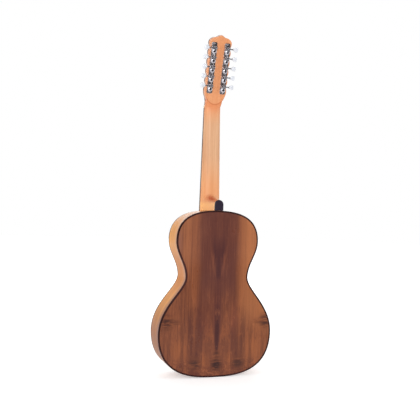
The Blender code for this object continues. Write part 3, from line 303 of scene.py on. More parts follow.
def loft(name, rings, closed=False):
    """Skin over rings that have as many points each, capped unless the last joins the first."""
    count = len(rings[0])
    points = [point for ring in rings for point in ring]
    faces = []
    for k in range(len(rings) if closed else len(rings) - 1):
        here = k * count
        there = (k + 1) % len(rings) * count
        for i in range(count):
            j = (i + 1) % count
            faces.append((here + i, here + j, there + j, there + i))
    if not closed:
        faces.append(tuple(range(count)))
        faces.append(tuple(range(len(points) - count, len(points))))
    mesh = bpy.data.meshes.new(name)
    mesh.from_pydata([tuple(point) for point in points], [], faces)
    work = bmesh.new()
    work.from_mesh(mesh)
    bpy.data.meshes.remove(mesh)
    bmesh.ops.remove_doubles(work, verts=work.verts, dist=1e-7)
    bmesh.ops.recalc_face_normals(work, faces=work.faces)
    return link(name, work)


def prism(name, outline, low, high, holes=()):
    """Plate with this XZ outline and these holes, from low to high along Y."""
    work = bmesh.new()
    edges = []
    for loop in (outline, *holes):
        corners = [work.verts.new((x, low, z)) for x, z in loop]
        edges += [work.edges.new((corners[i - 1], corners[i])) for i in range(len(corners))]
    bmesh.ops.triangle_fill(work, use_beauty=True, use_dissolve=False, edges=edges, normal=(0, -1, 0))
    raised = bmesh.ops.extrude_face_region(work, geom=list(work.faces), use_keep_orig=True)
    moved = [item for item in raised["geom"] if isinstance(item, bmesh.types.BMVert)]
    bmesh.ops.translate(work, verts=moved, vec=(0, high - low, 0))
    bmesh.ops.recalc_face_normals(work, faces=work.faces)
    return link(name, work)


def box(name, low, high):
    """Block between two opposite corners."""
    outline = [(low[0], low[2]), (high[0], low[2]), (high[0], high[2]), (low[0], high[2])]
    return prism(name, outline, low[1], high[1])


def circle(x, z, radius, sides):
    """Points of a circle in the XZ plane."""
    turns = [tau * (i + 0.5) / sides for i in range(sides)]
    return [(x + radius * cos(turn), z + radius * sin(turn)) for turn in turns]


def sweep(turn, steps):
    """Angles from 0 to a turn in equal steps, with both ends."""
    return [turn * k / steps for k in range(steps + 1)]


def rounding(radius, steps):
    """Distances from the two faces of a corner along the quarter circle that rounds it."""
    return [(radius * (1 - cos(turn)), radius * (1 - sin(turn))) for turn in sweep(pi / 2, steps)]


def modify(target, kind, **settings):
    """Give an object a modifier with these settings."""
    step = target.modifiers.new(kind, kind)
    for key, value in settings.items():
        setattr(step, key, value)


def settle(target):
    """Apply every modifier of an object."""
    bpy.context.view_layer.update()
    shaped = target.evaluated_get(bpy.context.evaluated_depsgraph_get())
    target.data = bpy.data.meshes.new_from_object(shaped)
    target.modifiers.clear()
    return target


def combine(target, operation, tools):
    """Apply one exact Boolean with each tool, and take the tools away."""
    for tool in tools:
        modify(target, "BOOLEAN", operation=operation, solver="EXACT", object=tool)
    settle(target)
    for tool in tools:
        bpy.data.objects.remove(tool)
    return target


def join(name, parts):
    """One object of several, which need not touch."""
    work = bmesh.new()
    for part in parts:
        work.from_mesh(part.data)
        bpy.data.objects.remove(part)
    return link(name, work)


def soften(made, width, limit=35):
    """Round the edges of an object that are sharper than the limit."""
    modify(made, "BEVEL", width=width, segments=2, limit_method="ANGLE", angle_limit=radians(limit))
    return settle(made)


def paint_over(made, look):
    """Give an object this material alone."""
    made.data.materials.clear()
    made.data.materials.append(look)


def dress(made, body, look, slot, node):
    """Give a piece its material, shading, body and the solid that it stands for."""
    paint_over(made, look)
    if made.type == "MESH":
        made.data.shade_smooth()
        made.data.set_sharp_from_angle(angle=radians(SHARP_FROM))
    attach(made, body)
    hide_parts(node)


# Body outline and other shared curves

def bezier(start, leave, arrive, end, steps):
    """Points of one cubic curve with their unit tangents, without the last point."""
    found = []
    for t in [k / steps for k in range(steps)]:
        s = 1 - t
        point = start * s**3 + leave * 3 * s * s * t + arrive * 3 * s * t * t + end * t**3
        slope = (leave - start) * s * s + (arrive - leave) * 2 * s * t + (end - arrive) * t * t
        found.append((point, slope.normalized()))
    return found


def half_outline():
    """Edge of the treble half from the top to the bottom: points and outward normals in XZ."""
    knots = [[Vector(part) for part in knot] for knot in (
        ((0, BODY_LENGTH), (-TOP_REACH, 0), (TOP_REACH, 0)),
        ((UPPER_BOUT_WIDTH / 2, UPPER_BOUT_Z), (0, UPPER_BOUT_RISE), (0, -UPPER_BOUT_FALL)),
        ((WAIST_WIDTH / 2, WAIST_Z), (0, WAIST_RISE), (0, -WAIST_FALL)),
        ((LOWER_BOUT_WIDTH / 2, LOWER_BOUT_Z), (0, LOWER_BOUT_RISE), (0, -LOWER_BOUT_FALL)),
        ((0, 0), (BOTTOM_REACH, 0), (-BOTTOM_REACH, 0)))]
    stations = []
    for (start, _, leave), (end, arrive, _), count in zip(knots, knots[1:], OUTLINE_STEPS):
        for point, tangent in bezier(start, start + leave, end + arrive, end, count):
            stations.append((point, Vector((-tangent.y, tangent.x))))
    stations.append((Vector((0, 0)), Vector((0, -1))))
    return stations


def inset_half(inset):
    """The treble half's edge, moved inwards by this much."""
    return [point - normal * inset for point, normal in half_outline()]


def body_outline(inset):
    """The whole edge, moved inwards, as XZ points."""
    treble = inset_half(inset)
    return [(p.x, p.y) for p in treble] + [(-p.x, p.y) for p in reversed(treble[1:-1])]


def crossing(walk, value, axis):
    """The other coordinate, where a walk along XZ points first reaches this value of an axis."""
    for here, there in zip(walk, walk[1:]):
        if here[axis] <= value <= there[axis]:
            share = (value - here[axis]) / (there[axis] - here[axis])
            return here[1 - axis] + share * (there[1 - axis] - here[1 - axis])
    return walk[0][1 - axis]


def half_width(z, inset):
    """Half the body's width at this height, moved inwards."""
    return crossing(inset_half(inset)[::-1], z, 1)


def edge_ring(name, section):
    """Closed strip round the body with this section of (inset, y) points."""
    treble = half_outline()
    bass = [(Vector((-p.x, p.y)), Vector((-n.x, n.y))) for p, n in reversed(treble[1:-1])]
    rings = []
    for point, normal in treble + bass:
        rings.append([(point.x - normal.x * inset, y, point.y - normal.y * inset) for inset, y in section])
    return loft(name, rings, closed=True)


def brace(name, ends, width, foot_y, height):
    """Bar between two XZ points, rounded at its crest and thinned at both ends."""
    start, end = Vector(ends[0]), Vector(ends[1])
    along = (end - start).normalized()
    across = Vector((-along.y, along.x)) * width / 2
    section = [(-1, 0), (-1, 0.55), (-0.72, 0.86), (0, 1), (0.72, 0.86), (1, 0.55), (1, 0)]
    scallop = 3 * abs(height)
    steps = 6
    rings = []
    for k in range(2 * steps + 2):
        near = k <= steps
        share = k / steps if near else (2 * steps + 1 - k) / steps
        rise = 0.35 + 0.65 * sin(pi / 2 * share)
        base = start + along * scallop * share if near else end - along * scallop * share
        rings.append([(base.x + across.x * side, foot_y + height * level * rise, base.y + across.y * side)
                      for side, level in section])
    return loft(name, rings)


def cross_bar(z, foot_y, height):
    """Bar across the body at this height, between the linings."""
    reach = half_width(z, LINING_INSET) - BRACE_CLEARANCE
    return brace("bar", ((-reach, z), (reach, z)), BRACE_WIDTH, foot_y, height)


def fret_z(fret):
    """Height of a fret on the scale."""
    return NUT_Z - SCALE_LENGTH * (1 - 0.5 ** (fret / 12))


def neck_half_width(z):
    """Half the neck's width, which widens evenly from the nut."""
    share = (NUT_Z - z) / (SCALE_LENGTH / 2)
    return (NUT_WIDTH + (NECK_WIDTH_AT_BODY - NUT_WIDTH) * share) / 2


def head_to_world(x, out, along):
    """Point of one in the head's frame: across, out of its back, and along it from the nut."""
    cosine, sine = cos(HEAD_ANGLE), sin(HEAD_ANGLE)
    return Vector((x, FRONT_Y + NECK_DEPTH_AT_NUT + out * cosine + along * sine,
                   NUT_Z - out * sine + along * cosine))


HEAD_MATRIX = (Matrix.Translation(head_to_world(0, 0, 0)) @ Matrix.Rotation(-HEAD_ANGLE, 4, "X"))


def on_head(made, across=0.0, out=0.0, along=0.0, flip=False):
    """Move a mesh from its own axes to its place on the head."""
    turn = Matrix.Rotation(pi if flip else 0, 4, "Z")
    made.data.transform(HEAD_MATRIX @ Matrix.Translation((across, out, along)) @ turn)
    return made


def head_outline(start):
    """Outline of the head from this distance on: flare, a scallop beside each shaft, and the crown.

    The wood, which starts at the flare, has an arc for its foot, where it comes out of the round shaft.
    """
    first_bulge = FIRST_POST_T + WORM_OFFSET - TUNER_PITCH / 2
    low = Vector((HEAD_NECK_HALF_WIDTH, HEAD_FLARE_START))
    high = Vector((HEAD_HALF_WIDTH, first_bulge))
    rise = Vector((0, (first_bulge - HEAD_FLARE_START) / 2.2))
    edge = [tuple(point) for point, _ in bezier(low, low + rise, high - rise, high, HEAD_STEPS)]
    if start < HEAD_FLARE_START - MM:
        edge.insert(0, (HEAD_NECK_HALF_WIDTH, start))
    else:
        edge = [point for point in edge if point[1] > HEAD_RUN_OUT - HEAD_FOOT_OVERLAP]
        width, end = edge[0]
        edge = [(width * k / 12, start + (end - start) * (k / 12) ** 2) for k in range(1, 12)] + edge
    for k in range(TUNERS * HEAD_STEPS + 1):
        dip = (0.5 - 0.5 * cos(tau * k / HEAD_STEPS)) ** SCALLOP_SHARPNESS
        edge.append((HEAD_HALF_WIDTH - SCALLOP_DEPTH * dip, first_bulge + TUNER_PITCH * k / HEAD_STEPS))
    shoulder = edge[-1][1]
    cusp = HEAD_LENGTH - CROWN_CUSP_DROP
    for turn in sweep(pi / 2, HEAD_STEPS)[1:]:
        edge.append((CROWN_CUSP_X + (HEAD_HALF_WIDTH - CROWN_CUSP_X) * cos(turn),
                     shoulder + (cusp - shoulder) * sin(turn)))
    for k in range(1, 11):
        x = CROWN_CUSP_X * (1 - k / 10)
        edge.append((x, HEAD_LENGTH - CROWN_CUSP_DROP * (x / CROWN_CUSP_X) ** CROWN_POINT))
    return edge + [(-x, t) for x, t in reversed(edge[:-1])]


def post_holes(sides=(-1, 1)):
    """Bores for the posts of one side or both."""
    bore = POST_RADIUS + RUNNING_GAP
    return [circle(side * POST_X, t, bore, ROUND_SIDES) for side in sides for t in POST_TS]


# Body pieces

def make_soundboard():
    """Soundboard with its hole, the rosette's groove, two bars and a fan of three."""
    board = prism("soundboard_wood", body_outline(SIDE_THICKNESS + PURFLING_WIDTH), FRONT_Y, FRONT_INNER_Y,
                  [circle(0, SOUNDHOLE_Z, SOUNDHOLE_RADIUS, SOUNDHOLE_SIDES)])
    groove = soundhole_ring("groove", GAP, FRONT_Y - MM, FRONT_Y + ROSETTE_THICKNESS + GAP, SOUNDHOLE_SIDES)
    combine(board, "DIFFERENCE", [groove])
    foot = FRONT_INNER_Y - GAP
    upper_bar = SOUNDHOLE_Z + ROSETTE_INNER + ROSETTE_WIDTH + BRACE_WIDTH / 2
    lower_bar = SOUNDHOLE_Z - ROSETTE_INNER - ROSETTE_WIDTH - BRACE_WIDTH / 2
    bars = [cross_bar(z, foot, BRACE_HEIGHT) for z in (upper_bar, lower_bar)]
    fan_top = lower_bar - BRACE_WIDTH
    fan_length = fan_top - END_BLOCK_LENGTH - LINING_INSET - FAN_CLEARANCE
    for turn in (-FAN_SPREAD, 0, FAN_SPREAD):
        top_x = fan_length * tan(turn) * FAN_TOP_SHARE
        ends = ((top_x, fan_top), (top_x + fan_length * tan(turn), fan_top - fan_length))
        bars.append(brace("fan", ends, FAN_BRACE_WIDTH, foot, FAN_BRACE_HEIGHT))
    return join("soundboard_wood", [board, *bars])


def soundhole_ring(name, clearance, low, high, sides):
    """Flat ring round the soundhole, as wide as the rosette and this clearance at both edges."""
    outer, inner = (circle(0, SOUNDHOLE_Z, radius, sides)
                    for radius in (ROSETTE_INNER + ROSETTE_WIDTH + clearance, ROSETTE_INNER - clearance))
    return prism(name, outer, low, high, [inner])


def make_rosette():
    """Inlaid ring round the soundhole, a hair below the soundboard's face."""
    return soundhole_ring("rosette_rings", 0, FRONT_Y, FRONT_Y + ROSETTE_THICKNESS, ROSETTE_SIDES)


def make_back():
    """Flat back with three cross braces."""
    plate = prism("back_wood", body_outline(SIDE_THICKNESS + PURFLING_WIDTH), BACK_INNER_Y, BACK_Y)
    places = (UPPER_BOUT_Z, WAIST_Z - BRACE_HEIGHT, LOWER_BOUT_Z)
    return join("back_wood", [plate, *(cross_bar(z, BACK_INNER_Y + GAP, -BRACE_HEIGHT) for z in places)])


def make_side(name, sign):
    """Bent side of one half with its lining glued in along both edges."""
    ends = (FRONT_Y + BINDING_DEPTH + GAP, BACK_Y - BINDING_DEPTH - GAP)
    seats = (FRONT_INNER_Y + GAP, BACK_INNER_Y - GAP)
    section = [
        (0, ends[1]), (0, ends[0]), (PLATE_INSET, ends[0]), (PLATE_INSET, seats[0]),
        (LINING_INSET, seats[0]), (SIDE_THICKNESS, seats[0] + LINING_DEPTH),
        (SIDE_THICKNESS, seats[1] - LINING_DEPTH), (LINING_INSET, seats[1]),
        (PLATE_INSET, seats[1]), (PLATE_INSET, ends[1]),
    ]
    rings = []
    for point, normal in half_outline():
        places = [(point - normal * inset, y) for inset, y in section]
        rings.append([(sign * max(place.x, GAP / 2), y, place.y) for place, y in places])
    side = loft(name, rings)
    cutters = []
    for block in ("neck_block", "end_block"):
        low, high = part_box(block)
        upper = block == "neck_block"
        curve = [low.x - GAP + (high.x - low.x + 2 * GAP) * k / 12 for k in range(13)]
        edge = inset_half(SIDE_THICKNESS + GAP / 2)[::1 if upper else -1]
        face = [(x, crossing(edge, abs(x), 0)) for x in curve]
        inner = low.z - GAP if upper else high.z + GAP
        cutters.append(prism("space", face + [(curve[-1], inner), (curve[0], inner)], FRONT_Y, BACK_Y))
    return combine(side, "DIFFERENCE", cutters)


def make_purfling(name, face, inward):
    """Thin dark line let into a plate beside its binding."""
    floor = face + inward * PURFLING_DEPTH
    outer, inner = SIDE_THICKNESS + 0.02 * MM, SIDE_THICKNESS + PURFLING_WIDTH
    return edge_ring(name, [(outer, face), (inner, face), (inner, floor), (outer, floor)])


def make_binding(name, face, inward):
    """Binding round the edge of one plate, with its outer corner rounded."""
    inner = face + inward * BINDING_DEPTH
    corner = [(inset, face + inward * depth) for inset, depth in rounding(BINDING_ROUND, 4)]
    return edge_ring(name, corner + [(SIDE_THICKNESS, face), (SIDE_THICKNESS, inner), (0, inner)])


# Neck, head and fingerboard

def neck_section(front, back, width, fullness):
    """Section of the neck with a flat front and a round back, between a front and a back YZ point."""
    ring = [(width, front[0], front[1])]
    for turn in sweep(pi, 36):
        across = copysign(abs(cos(turn)) ** (2 / fullness), cos(turn))
        depth = 0.04 + 0.96 * sin(turn) ** (2 / fullness)
        ring.append((width * across, front[0] + (back[0] - front[0]) * depth,
                     front[1] + (back[1] - front[1]) * depth))
    return ring + [(-width, front[0], front[1])]


def make_shaft():
    """Neck shaft from inside the heel to the head, its round back running out into the flat head."""
    rings = []
    low = BODY_LENGTH - TENON_LENGTH / 2
    high = NUT_Z - SHAFT_RUN_OUT
    for k in range(25):
        z = low + (high - low) * k / 24
        depth = NECK_DEPTH_AT_HEEL + (NECK_DEPTH_AT_NUT - NECK_DEPTH_AT_HEEL) * (z - low) / (NUT_Z - low)
        rings.append(neck_section((FRONT_Y, z), (FRONT_Y + depth, z), neck_half_width(z), SHAFT_FULLNESS))
    start = head_to_world(0, 0, 0)
    rings.append(neck_section((FRONT_Y, HEAD_BREAK_Z), start.yz, HEAD_NECK_HALF_WIDTH, HEAD_FULLNESS))
    for k in range(1, 9):
        t = HEAD_RUN_OUT * k / 8
        front, back = (head_to_world(0, out, t).yz for out in (0.05 * MM - HEAD_WOOD, -0.05 * MM))
        fullness = HEAD_FULLNESS * 10 ** (k / 8)
        rings.append(neck_section(front, back, HEAD_NECK_HALF_WIDTH - 0.1 * MM, fullness))
    return loft("neck", rings)


def heel_top(share):
    """Height of the heel's crest: a hollow sweep from the shaft, share 0, to the cap, share 1."""
    return BODY_LENGTH + HEEL_RISE + HEEL_SWEEP * (1 - sqrt(1 - (1 - share) ** 2))


def arch(half, top, foot, steps):
    """XZ outline with parallel sides and a half-round top."""
    curve = [(half * cos(turn), top - half + half * sin(turn)) for turn in sweep(pi, steps)]
    return [(half, foot)] + curve + [(-half, foot)]


def make_heel():
    """Heel, narrowing from the fingerboard to the cap."""
    start_y = FRONT_Y + NECK_DEPTH_AT_NUT / 2
    shaft_y = FRONT_Y + NECK_DEPTH_AT_HEEL
    end_y = BACK_Y - HEEL_CAP_THICKNESS - GAP
    rings = []
    for k in range(33):
        y = start_y + (end_y - start_y) * k / 32
        share = min(1, max(0, (y - shaft_y) / (end_y - shaft_y)))
        half = HEEL_CAP_WIDTH / 2 + HEEL_FLARE * ((end_y - y) / (end_y - FRONT_Y)) ** 2
        outline = arch(half, heel_top(share), BODY_LENGTH - TENON_LENGTH / 2, 28)
        rings.append([(x, y, z) for x, z in outline])
    return loft("heel", rings)


def make_neck():
    """Neck in one piece, its shaft blended into the heel and the head."""
    neck = make_shaft()
    head = on_head(prism("head", head_outline(HEAD_FLARE_START), -HEAD_WOOD, 0, post_holes()))
    combine(neck, "UNION", [make_heel(), head])
    modify(neck, "REMESH", mode="VOXEL", voxel_size=NECK_VOXEL)
    modify(neck, "SMOOTH", factor=0.5, iterations=NECK_SMOOTHING)
    modify(neck, "DECIMATE", ratio=NECK_FACE_SHARE)
    settle(neck)
    body = prism("body_space", body_outline(-GAP), FRONT_Y - MM, BACK_Y + MM)
    combine(neck, "DIFFERENCE", [body])
    reach = TENON_WIDTH / 2
    tenon = box("tenon", (-reach, FRONT_Y + BINDING_DEPTH + GAP, BODY_LENGTH - TENON_LENGTH),
                (reach, BACK_Y - BINDING_DEPTH - GAP, BODY_LENGTH + TENON_LENGTH / 2))
    return join("neck_wood", [neck, tenon])


def make_heel_cap():
    """Dark U-shaped plate on the heel, rounded over at its outer edge."""
    half, top = HEEL_CAP_WIDTH / 2, BODY_LENGTH + HEEL_RISE
    rings = []
    for inset, depth in [(0, HEEL_CAP_THICKNESS)] + rounding(MM, 5):
        outline = arch(half - inset, top - inset, BODY_LENGTH + GAP, 40)
        rings.append([(x, BACK_Y - depth, z) for x, z in outline])
    return loft("heel_cap_plate", rings)


def make_veneer():
    """Dark face of the head."""
    veneer = prism("head_face_veneer", head_outline(VENEER_START), VENEER_FACE,
                   VENEER_FACE + VENEER_THICKNESS, post_holes())
    return on_head(soften(veneer, 0.25 * MM, 50))


def make_fingerboard():
    """Fingerboard, which widens from the nut."""
    wide = neck_half_width(FINGERBOARD_END_Z)
    narrow = neck_half_width(NUT_Z)
    outline = [(wide, FINGERBOARD_END_Z), (narrow, NUT_Z), (-narrow, NUT_Z), (-wide, FINGERBOARD_END_Z)]
    return soften(prism("fingerboard_wood", outline, FINGERBOARD_Y, FRONT_Y - GAP), 0.35 * MM)


def make_frets():
    """Fret wires with rounded crowns and bevelled ends."""
    frets = []
    for z in [fret_z(number) for number in range(1, FRETS + 1)]:
        half = neck_half_width(z) - FRET_INSET
        rings = []
        for x, share in ((-half, 0.35), (-half + 0.9 * MM, 1), (half - 0.9 * MM, 1), (half, 0.35)):
            rings.append([(x, FINGERBOARD_Y + GAP - (FRET_HEIGHT + GAP) * share * sin(turn),
                           z + FRET_WIDTH / 2 * cos(turn)) for turn in sweep(pi, 8)])
        frets.append(loft("fret", rings))
    return join("frets", frets)


def make_dots():
    """Pearl dots let into the fingerboard between the frets."""
    dots = []
    for place, fret in enumerate(DOT_FRETS):
        z = (fret_z(fret) + fret_z(fret - 1)) / 2
        pair = DOT_FRETS.count(fret) > 1
        x = (10 * MM if place == DOT_FRETS.index(fret) else -10 * MM) if pair else 0
        low = FINGERBOARD_Y - 0.04 * MM
        rings = [[(a, y, b) for a, b in circle(x, z, DOT_RADIUS * share, 24)]
                 for y, share in ((FINGERBOARD_Y + MM, 1), (low + 0.03 * MM, 1), (low, 0.96))]
        dots.append(loft("dot", rings))
    return join("position_dots", dots)


# Strings, nut, saddle and bridge

def strings():
    """Each string's side, place from the outside in, gauge, and X at the nut and at the saddle."""
    found = []
    for sign, gauges in ((1, TREBLE_GAUGES), (-1, BASS_GAUGES)):
        for k, gauge in enumerate(gauges):
            course = 2 - k // 2
            half = 0.5 if k % 2 == 0 else -0.5
            nut_x = sign * (course * NUT_COURSE_SPACING + half * NUT_PAIR_SPACING)
            saddle_x = sign * (course * SADDLE_COURSE_SPACING + half * SADDLE_PAIR_SPACING)
            found.append((sign, k, gauge, nut_x, saddle_x))
    return found


def make_nut():
    """Nut with a slot for each string and rounded ends."""
    foot = FRONT_Y - GAP
    crest = NUT_STRING_Y - GAP
    end = NUT_WIDTH / 2
    left = [(-end + inset, crest + depth) for inset, depth in rounding(MM, 5)]
    profile = [(end, foot), (-end, foot)] + left
    for _, _, gauge, x, _ in sorted(strings(), key=lambda string: string[3]):
        half = gauge / 2 + GAP
        floor = NUT_STRING_Y + gauge / 2 + GAP
        profile += [(x - half, crest), (x - half, floor), (x + half, floor), (x + half, crest)]
    profile += [(-x, y) for x, y in reversed(left)]
    rings = [[(x, y, z) for x, y in profile] for z in (NUT_Z + GAP, NUT_END_Z)]
    return soften(loft("nut_comb", rings), 0.12 * MM, 60)


def make_bridge():
    """Bridge with thin rounded wings, the saddle's slot and a hole for each string."""
    face = FRONT_Y - GAP
    front, tail = SADDLE_Z + BRIDGE_FRONT, SADDLE_Z - BRIDGE_TAIL
    section = [
        (front, 0), (front, BRIDGE_HEIGHT - BRIDGE_CHAMFER), (front - BRIDGE_CHAMFER, BRIDGE_HEIGHT),
        (SADDLE_Z - BRIDGE_VALLEY_START, BRIDGE_HEIGHT),
        (SADDLE_Z - BRIDGE_VALLEY_START - BRIDGE_CHAMFER, BRIDGE_VALLEY_HEIGHT),
        (SADDLE_Z - BRIDGE_VALLEY_END, BRIDGE_VALLEY_HEIGHT), (SADDLE_Z - BRIDGE_VALLEY_END, BRIDGE_HEIGHT),
        (tail, BRIDGE_HEIGHT), (tail, 0),
    ]
    reach = BRIDGE_CENTRE_WIDTH / 2
    bridge = loft("bridge_wood", [[(x, face - height, z) for z, height in section] for x in (-reach, reach)])
    middle, half = (front + tail) / 2, (front - tail) / 2 - MM
    end = BRIDGE_WIDTH / 2 - half / 2
    turns = [pi * (k / 24 - 0.5) for k in range(25)]
    cap = [(end + half / 2 * cos(turn), middle + half * sin(turn)) for turn in turns]
    wings = prism("wings", cap + [(-x, z) for x, z in reversed(cap)], face - BRIDGE_WING_HEIGHT,
                  face - 0.1 * MM)
    combine(bridge, "UNION", [wings])
    slot = SADDLE_THICKNESS / 2 + GAP
    length = SADDLE_LENGTH / 2 + GAP
    cutters = [box("slot", (-length, face - SADDLE_HEIGHT, SADDLE_Z - slot),
                   (length, face - BRIDGE_HEIGHT + SADDLE_SEAT, SADDLE_Z + slot))]
    for _, _, _, _, x in strings():
        ring = circle(x, FRONT_Y - STRING_HOLE_HEIGHT, STRING_HOLE_RADIUS, 20)
        rings = [[(a, b, z) for a, b in ring] for z in (tail - MM, SADDLE_Z - BRIDGE_VALLEY_END + MM)]
        cutters.append(loft("string_hole", rings))
    return soften(combine(bridge, "DIFFERENCE", cutters), 0.3 * MM, 40)


def make_saddle():
    """Saddle with a rounded crest, highest at its front edge, where the strings leave it."""
    foot = FRONT_Y - GAP - BRIDGE_HEIGHT + SADDLE_SEAT - GAP
    crest = FRONT_Y - SADDLE_HEIGHT
    half = SADDLE_THICKNESS / 2
    back = [(crest + SADDLE_SLOPE * (1 - sin(turn)), SADDLE_Z + half - 2 * half * cos(turn))
            for turn in sweep(pi / 2, 8)]
    section = [(foot, SADDLE_Z - half)] + back + [(foot, SADDLE_Z + half)]
    reach = SADDLE_LENGTH / 2
    saddle = loft("saddle_bone", [[(x, y, z) for y, z in section] for x in (-reach, reach)])
    return soften(saddle, 0.15 * MM, 50)


def turn_radius(gauge):
    """Radius of a string's turns round its post's eight-sided waist."""
    return (POST_WAIST_RADIUS + gauge / 2 + RUNNING_GAP) / cos(pi / 8)


def string_route(sign, place, gauge, nut_x, saddle_x):
    """Points from the ball end over saddle and nut to the last turn round the post."""
    hole_y = FRONT_Y - STRING_HOLE_HEIGHT
    tail = SADDLE_Z - BRIDGE_TAIL - GAP
    route = [
        Vector((saddle_x, hole_y, tail)),
        Vector((saddle_x, hole_y, SADDLE_Z - BRIDGE_VALLEY_END)),
        Vector((saddle_x, FRONT_Y - SADDLE_HEIGHT - GAP - gauge / 2, SADDLE_Z + SADDLE_THICKNESS / 2)),
        Vector((nut_x, NUT_STRING_Y, NUT_END_Z)),
    ]
    radius = turn_radius(gauge)
    pitch = gauge + STRING_GAP
    post_t = POST_TS[place]
    last_out = VENEER_FACE - 3 * GAP - gauge / 2
    first_out = last_out - pitch * STRING_TURNS
    if place == 1:
        outer = (TREBLE_GAUGES if sign > 0 else BASS_GAUGES)[0]
        pass_x = POST_X - turn_radius(outer) - outer / 2 - STRING_GAP - gauge / 2
        route.append(head_to_world(sign * pass_x, first_out, POST_TS[0]))
    for k in range(STRING_TURNS * STRING_TURN_POINTS + 1):
        turn = pi - tau * k / STRING_TURN_POINTS
        route.append(head_to_world(sign * (POST_X + radius * cos(turn)),
                                   first_out + pitch * k / STRING_TURN_POINTS,
                                   post_t + radius * sin(turn)))
    return route


def make_string(name, string):
    """One taut string with round section, and the ball at its end."""
    route = string_route(*string)
    curve = bpy.data.curves.new(name, "CURVE")
    curve.dimensions = "3D"
    curve.bevel_depth = string[2] / 2
    curve.bevel_resolution = 3
    curve.use_fill_caps = True
    spline = curve.splines.new("POLY")
    spline.points.add(len(route) - 1)
    for k, point in enumerate(route):
        spline.points[k].co = (*point, 1)
    end = route[0]
    rings = []
    for k in range(13):
        share = k / 12
        swell = 0.62 + 0.38 * abs(sin(pi * share * 2)) ** 0.7 if 0 < k < 12 else 0.5
        z = end.z - BALL_LENGTH * (1 - share)
        rings.append([(a, b, z) for a, b in circle(end.x, end.y, BALL_RADIUS * swell, 20)])
    return put(name, curve), loft(f"{name}_ball", rings)


# Tuners

def gear_outline():
    """Rounded teeth on the gear, with a space between two teeth at +Z."""
    root = GEAR_PITCH_RADIUS - TOOTH_FALL
    tip = GEAR_PITCH_RADIUS + TOOTH_RISE
    half = TOOTH_SHARE * CIRCULAR_PITCH / 2
    root_half = (half + TOOTH_TAPER * TOOTH_FALL / (TOOTH_FALL + TOOTH_RISE)) / GEAR_PITCH_RADIUS
    tip_half = (half - TOOTH_TAPER * TOOTH_RISE / (TOOTH_FALL + TOOTH_RISE)) / GEAR_PITCH_RADIUS
    shape = [(root, root_half)]
    shape += [(tip - (tip - root) * (1 - share) ** 2 * 0.9, root_half + (tip_half - root_half) * share)
              for share in (0.35, 0.6, 0.8)]
    shape += [(tip, tip_half * 0.7)]
    outline = []
    for tooth in range(GEAR_TEETH):
        middle = pi / 2 - tau * (tooth + 0.5) / GEAR_TEETH
        for radius, turn in shape + [(radius, -turn) for radius, turn in reversed(shape)]:
            outline.append((radius * cos(middle + turn), radius * sin(middle + turn)))
    return outline


def lathe(name, profile, sides=ROUND_SIDES):
    """Turned part along Y from (y, radius) pairs."""
    return loft(name, [[(x, y, z) for x, z in circle(0, 0, radius, sides)] for y, radius in profile])


def slotted_screw(name, profile, sides, low, high, turn):
    """Turned screw head, with a slot cut across it by the box between these corners."""
    slot = box("slot", low, high)
    slot.data.transform(Matrix.Rotation(turn, 4, "Y"))
    return combine(lathe(name, profile, sides), "DIFFERENCE", [slot])


def make_post(name, screw_name):
    """String post, turned, with its gear, and the slotted screw that holds the gear."""
    gear_low = WORM_AXIS_HEIGHT - GEAR_THICKNESS / 2
    gear_high = gear_low + GEAR_THICKNESS
    skew = CIRCULAR_PITCH / (tau * WORM_PITCH_RADIUS) / GEAR_PITCH_RADIUS
    rings = []
    for y, share in ((gear_low, 0.97), (gear_low + 0.25 * MM, 1), (gear_high - GEAR_DISH, 1),
                     (gear_high - 0.8 * GEAR_DISH, 0.96), (gear_high, 0.55)):
        turn = Matrix.Rotation(-skew * (y - WORM_AXIS_HEIGHT), 2)
        corners = [turn @ Vector(point) * share for point in gear_outline()]
        rings.append([(corner.x, y, corner.y) for corner in corners])
    gear = loft("gear", rings)
    front, waist_high = VENEER_FACE - POST_RISE, VENEER_FACE - GAP
    waist_low = front + POST_HEAD
    hub = PLATE_METAL + 2 * GAP
    post = lathe("post", [
        (WORM_AXIS_HEIGHT, HUB_RADIUS), (hub + POST_EDGE, HUB_RADIUS), (hub, HUB_RADIUS - POST_EDGE),
        (hub, POST_RADIUS), (waist_high, POST_RADIUS), (waist_high - 2 * POST_EDGE, POST_WAIST_RADIUS),
        (waist_low + 2 * POST_EDGE, POST_WAIST_RADIUS), (waist_low + 0.15 * MM, POST_RADIUS - 0.1 * MM),
        (waist_low, POST_RADIUS), (front + 0.6 * MM, POST_RADIUS),
        (front + POST_EDGE, POST_RADIUS - 0.25 * MM), (front, POST_RADIUS - 0.7 * MM)])
    dome = [(gear_high - MM, GEAR_SCREW_RADIUS)]
    dome += [(gear_high + 0.3 * MM + GEAR_SCREW_RISE * sin(turn), GEAR_SCREW_RADIUS * cos(turn))
             for turn in sweep(pi / 2, 8)[:-1]]
    screw = slotted_screw(screw_name, dome, ROUND_SIDES, (-4 * MM, gear_high + 0.9 * MM, -0.35 * MM),
                          (4 * MM, gear_high + 3 * MM, 0.35 * MM), radians(60))
    return join(name, [post, gear]), screw


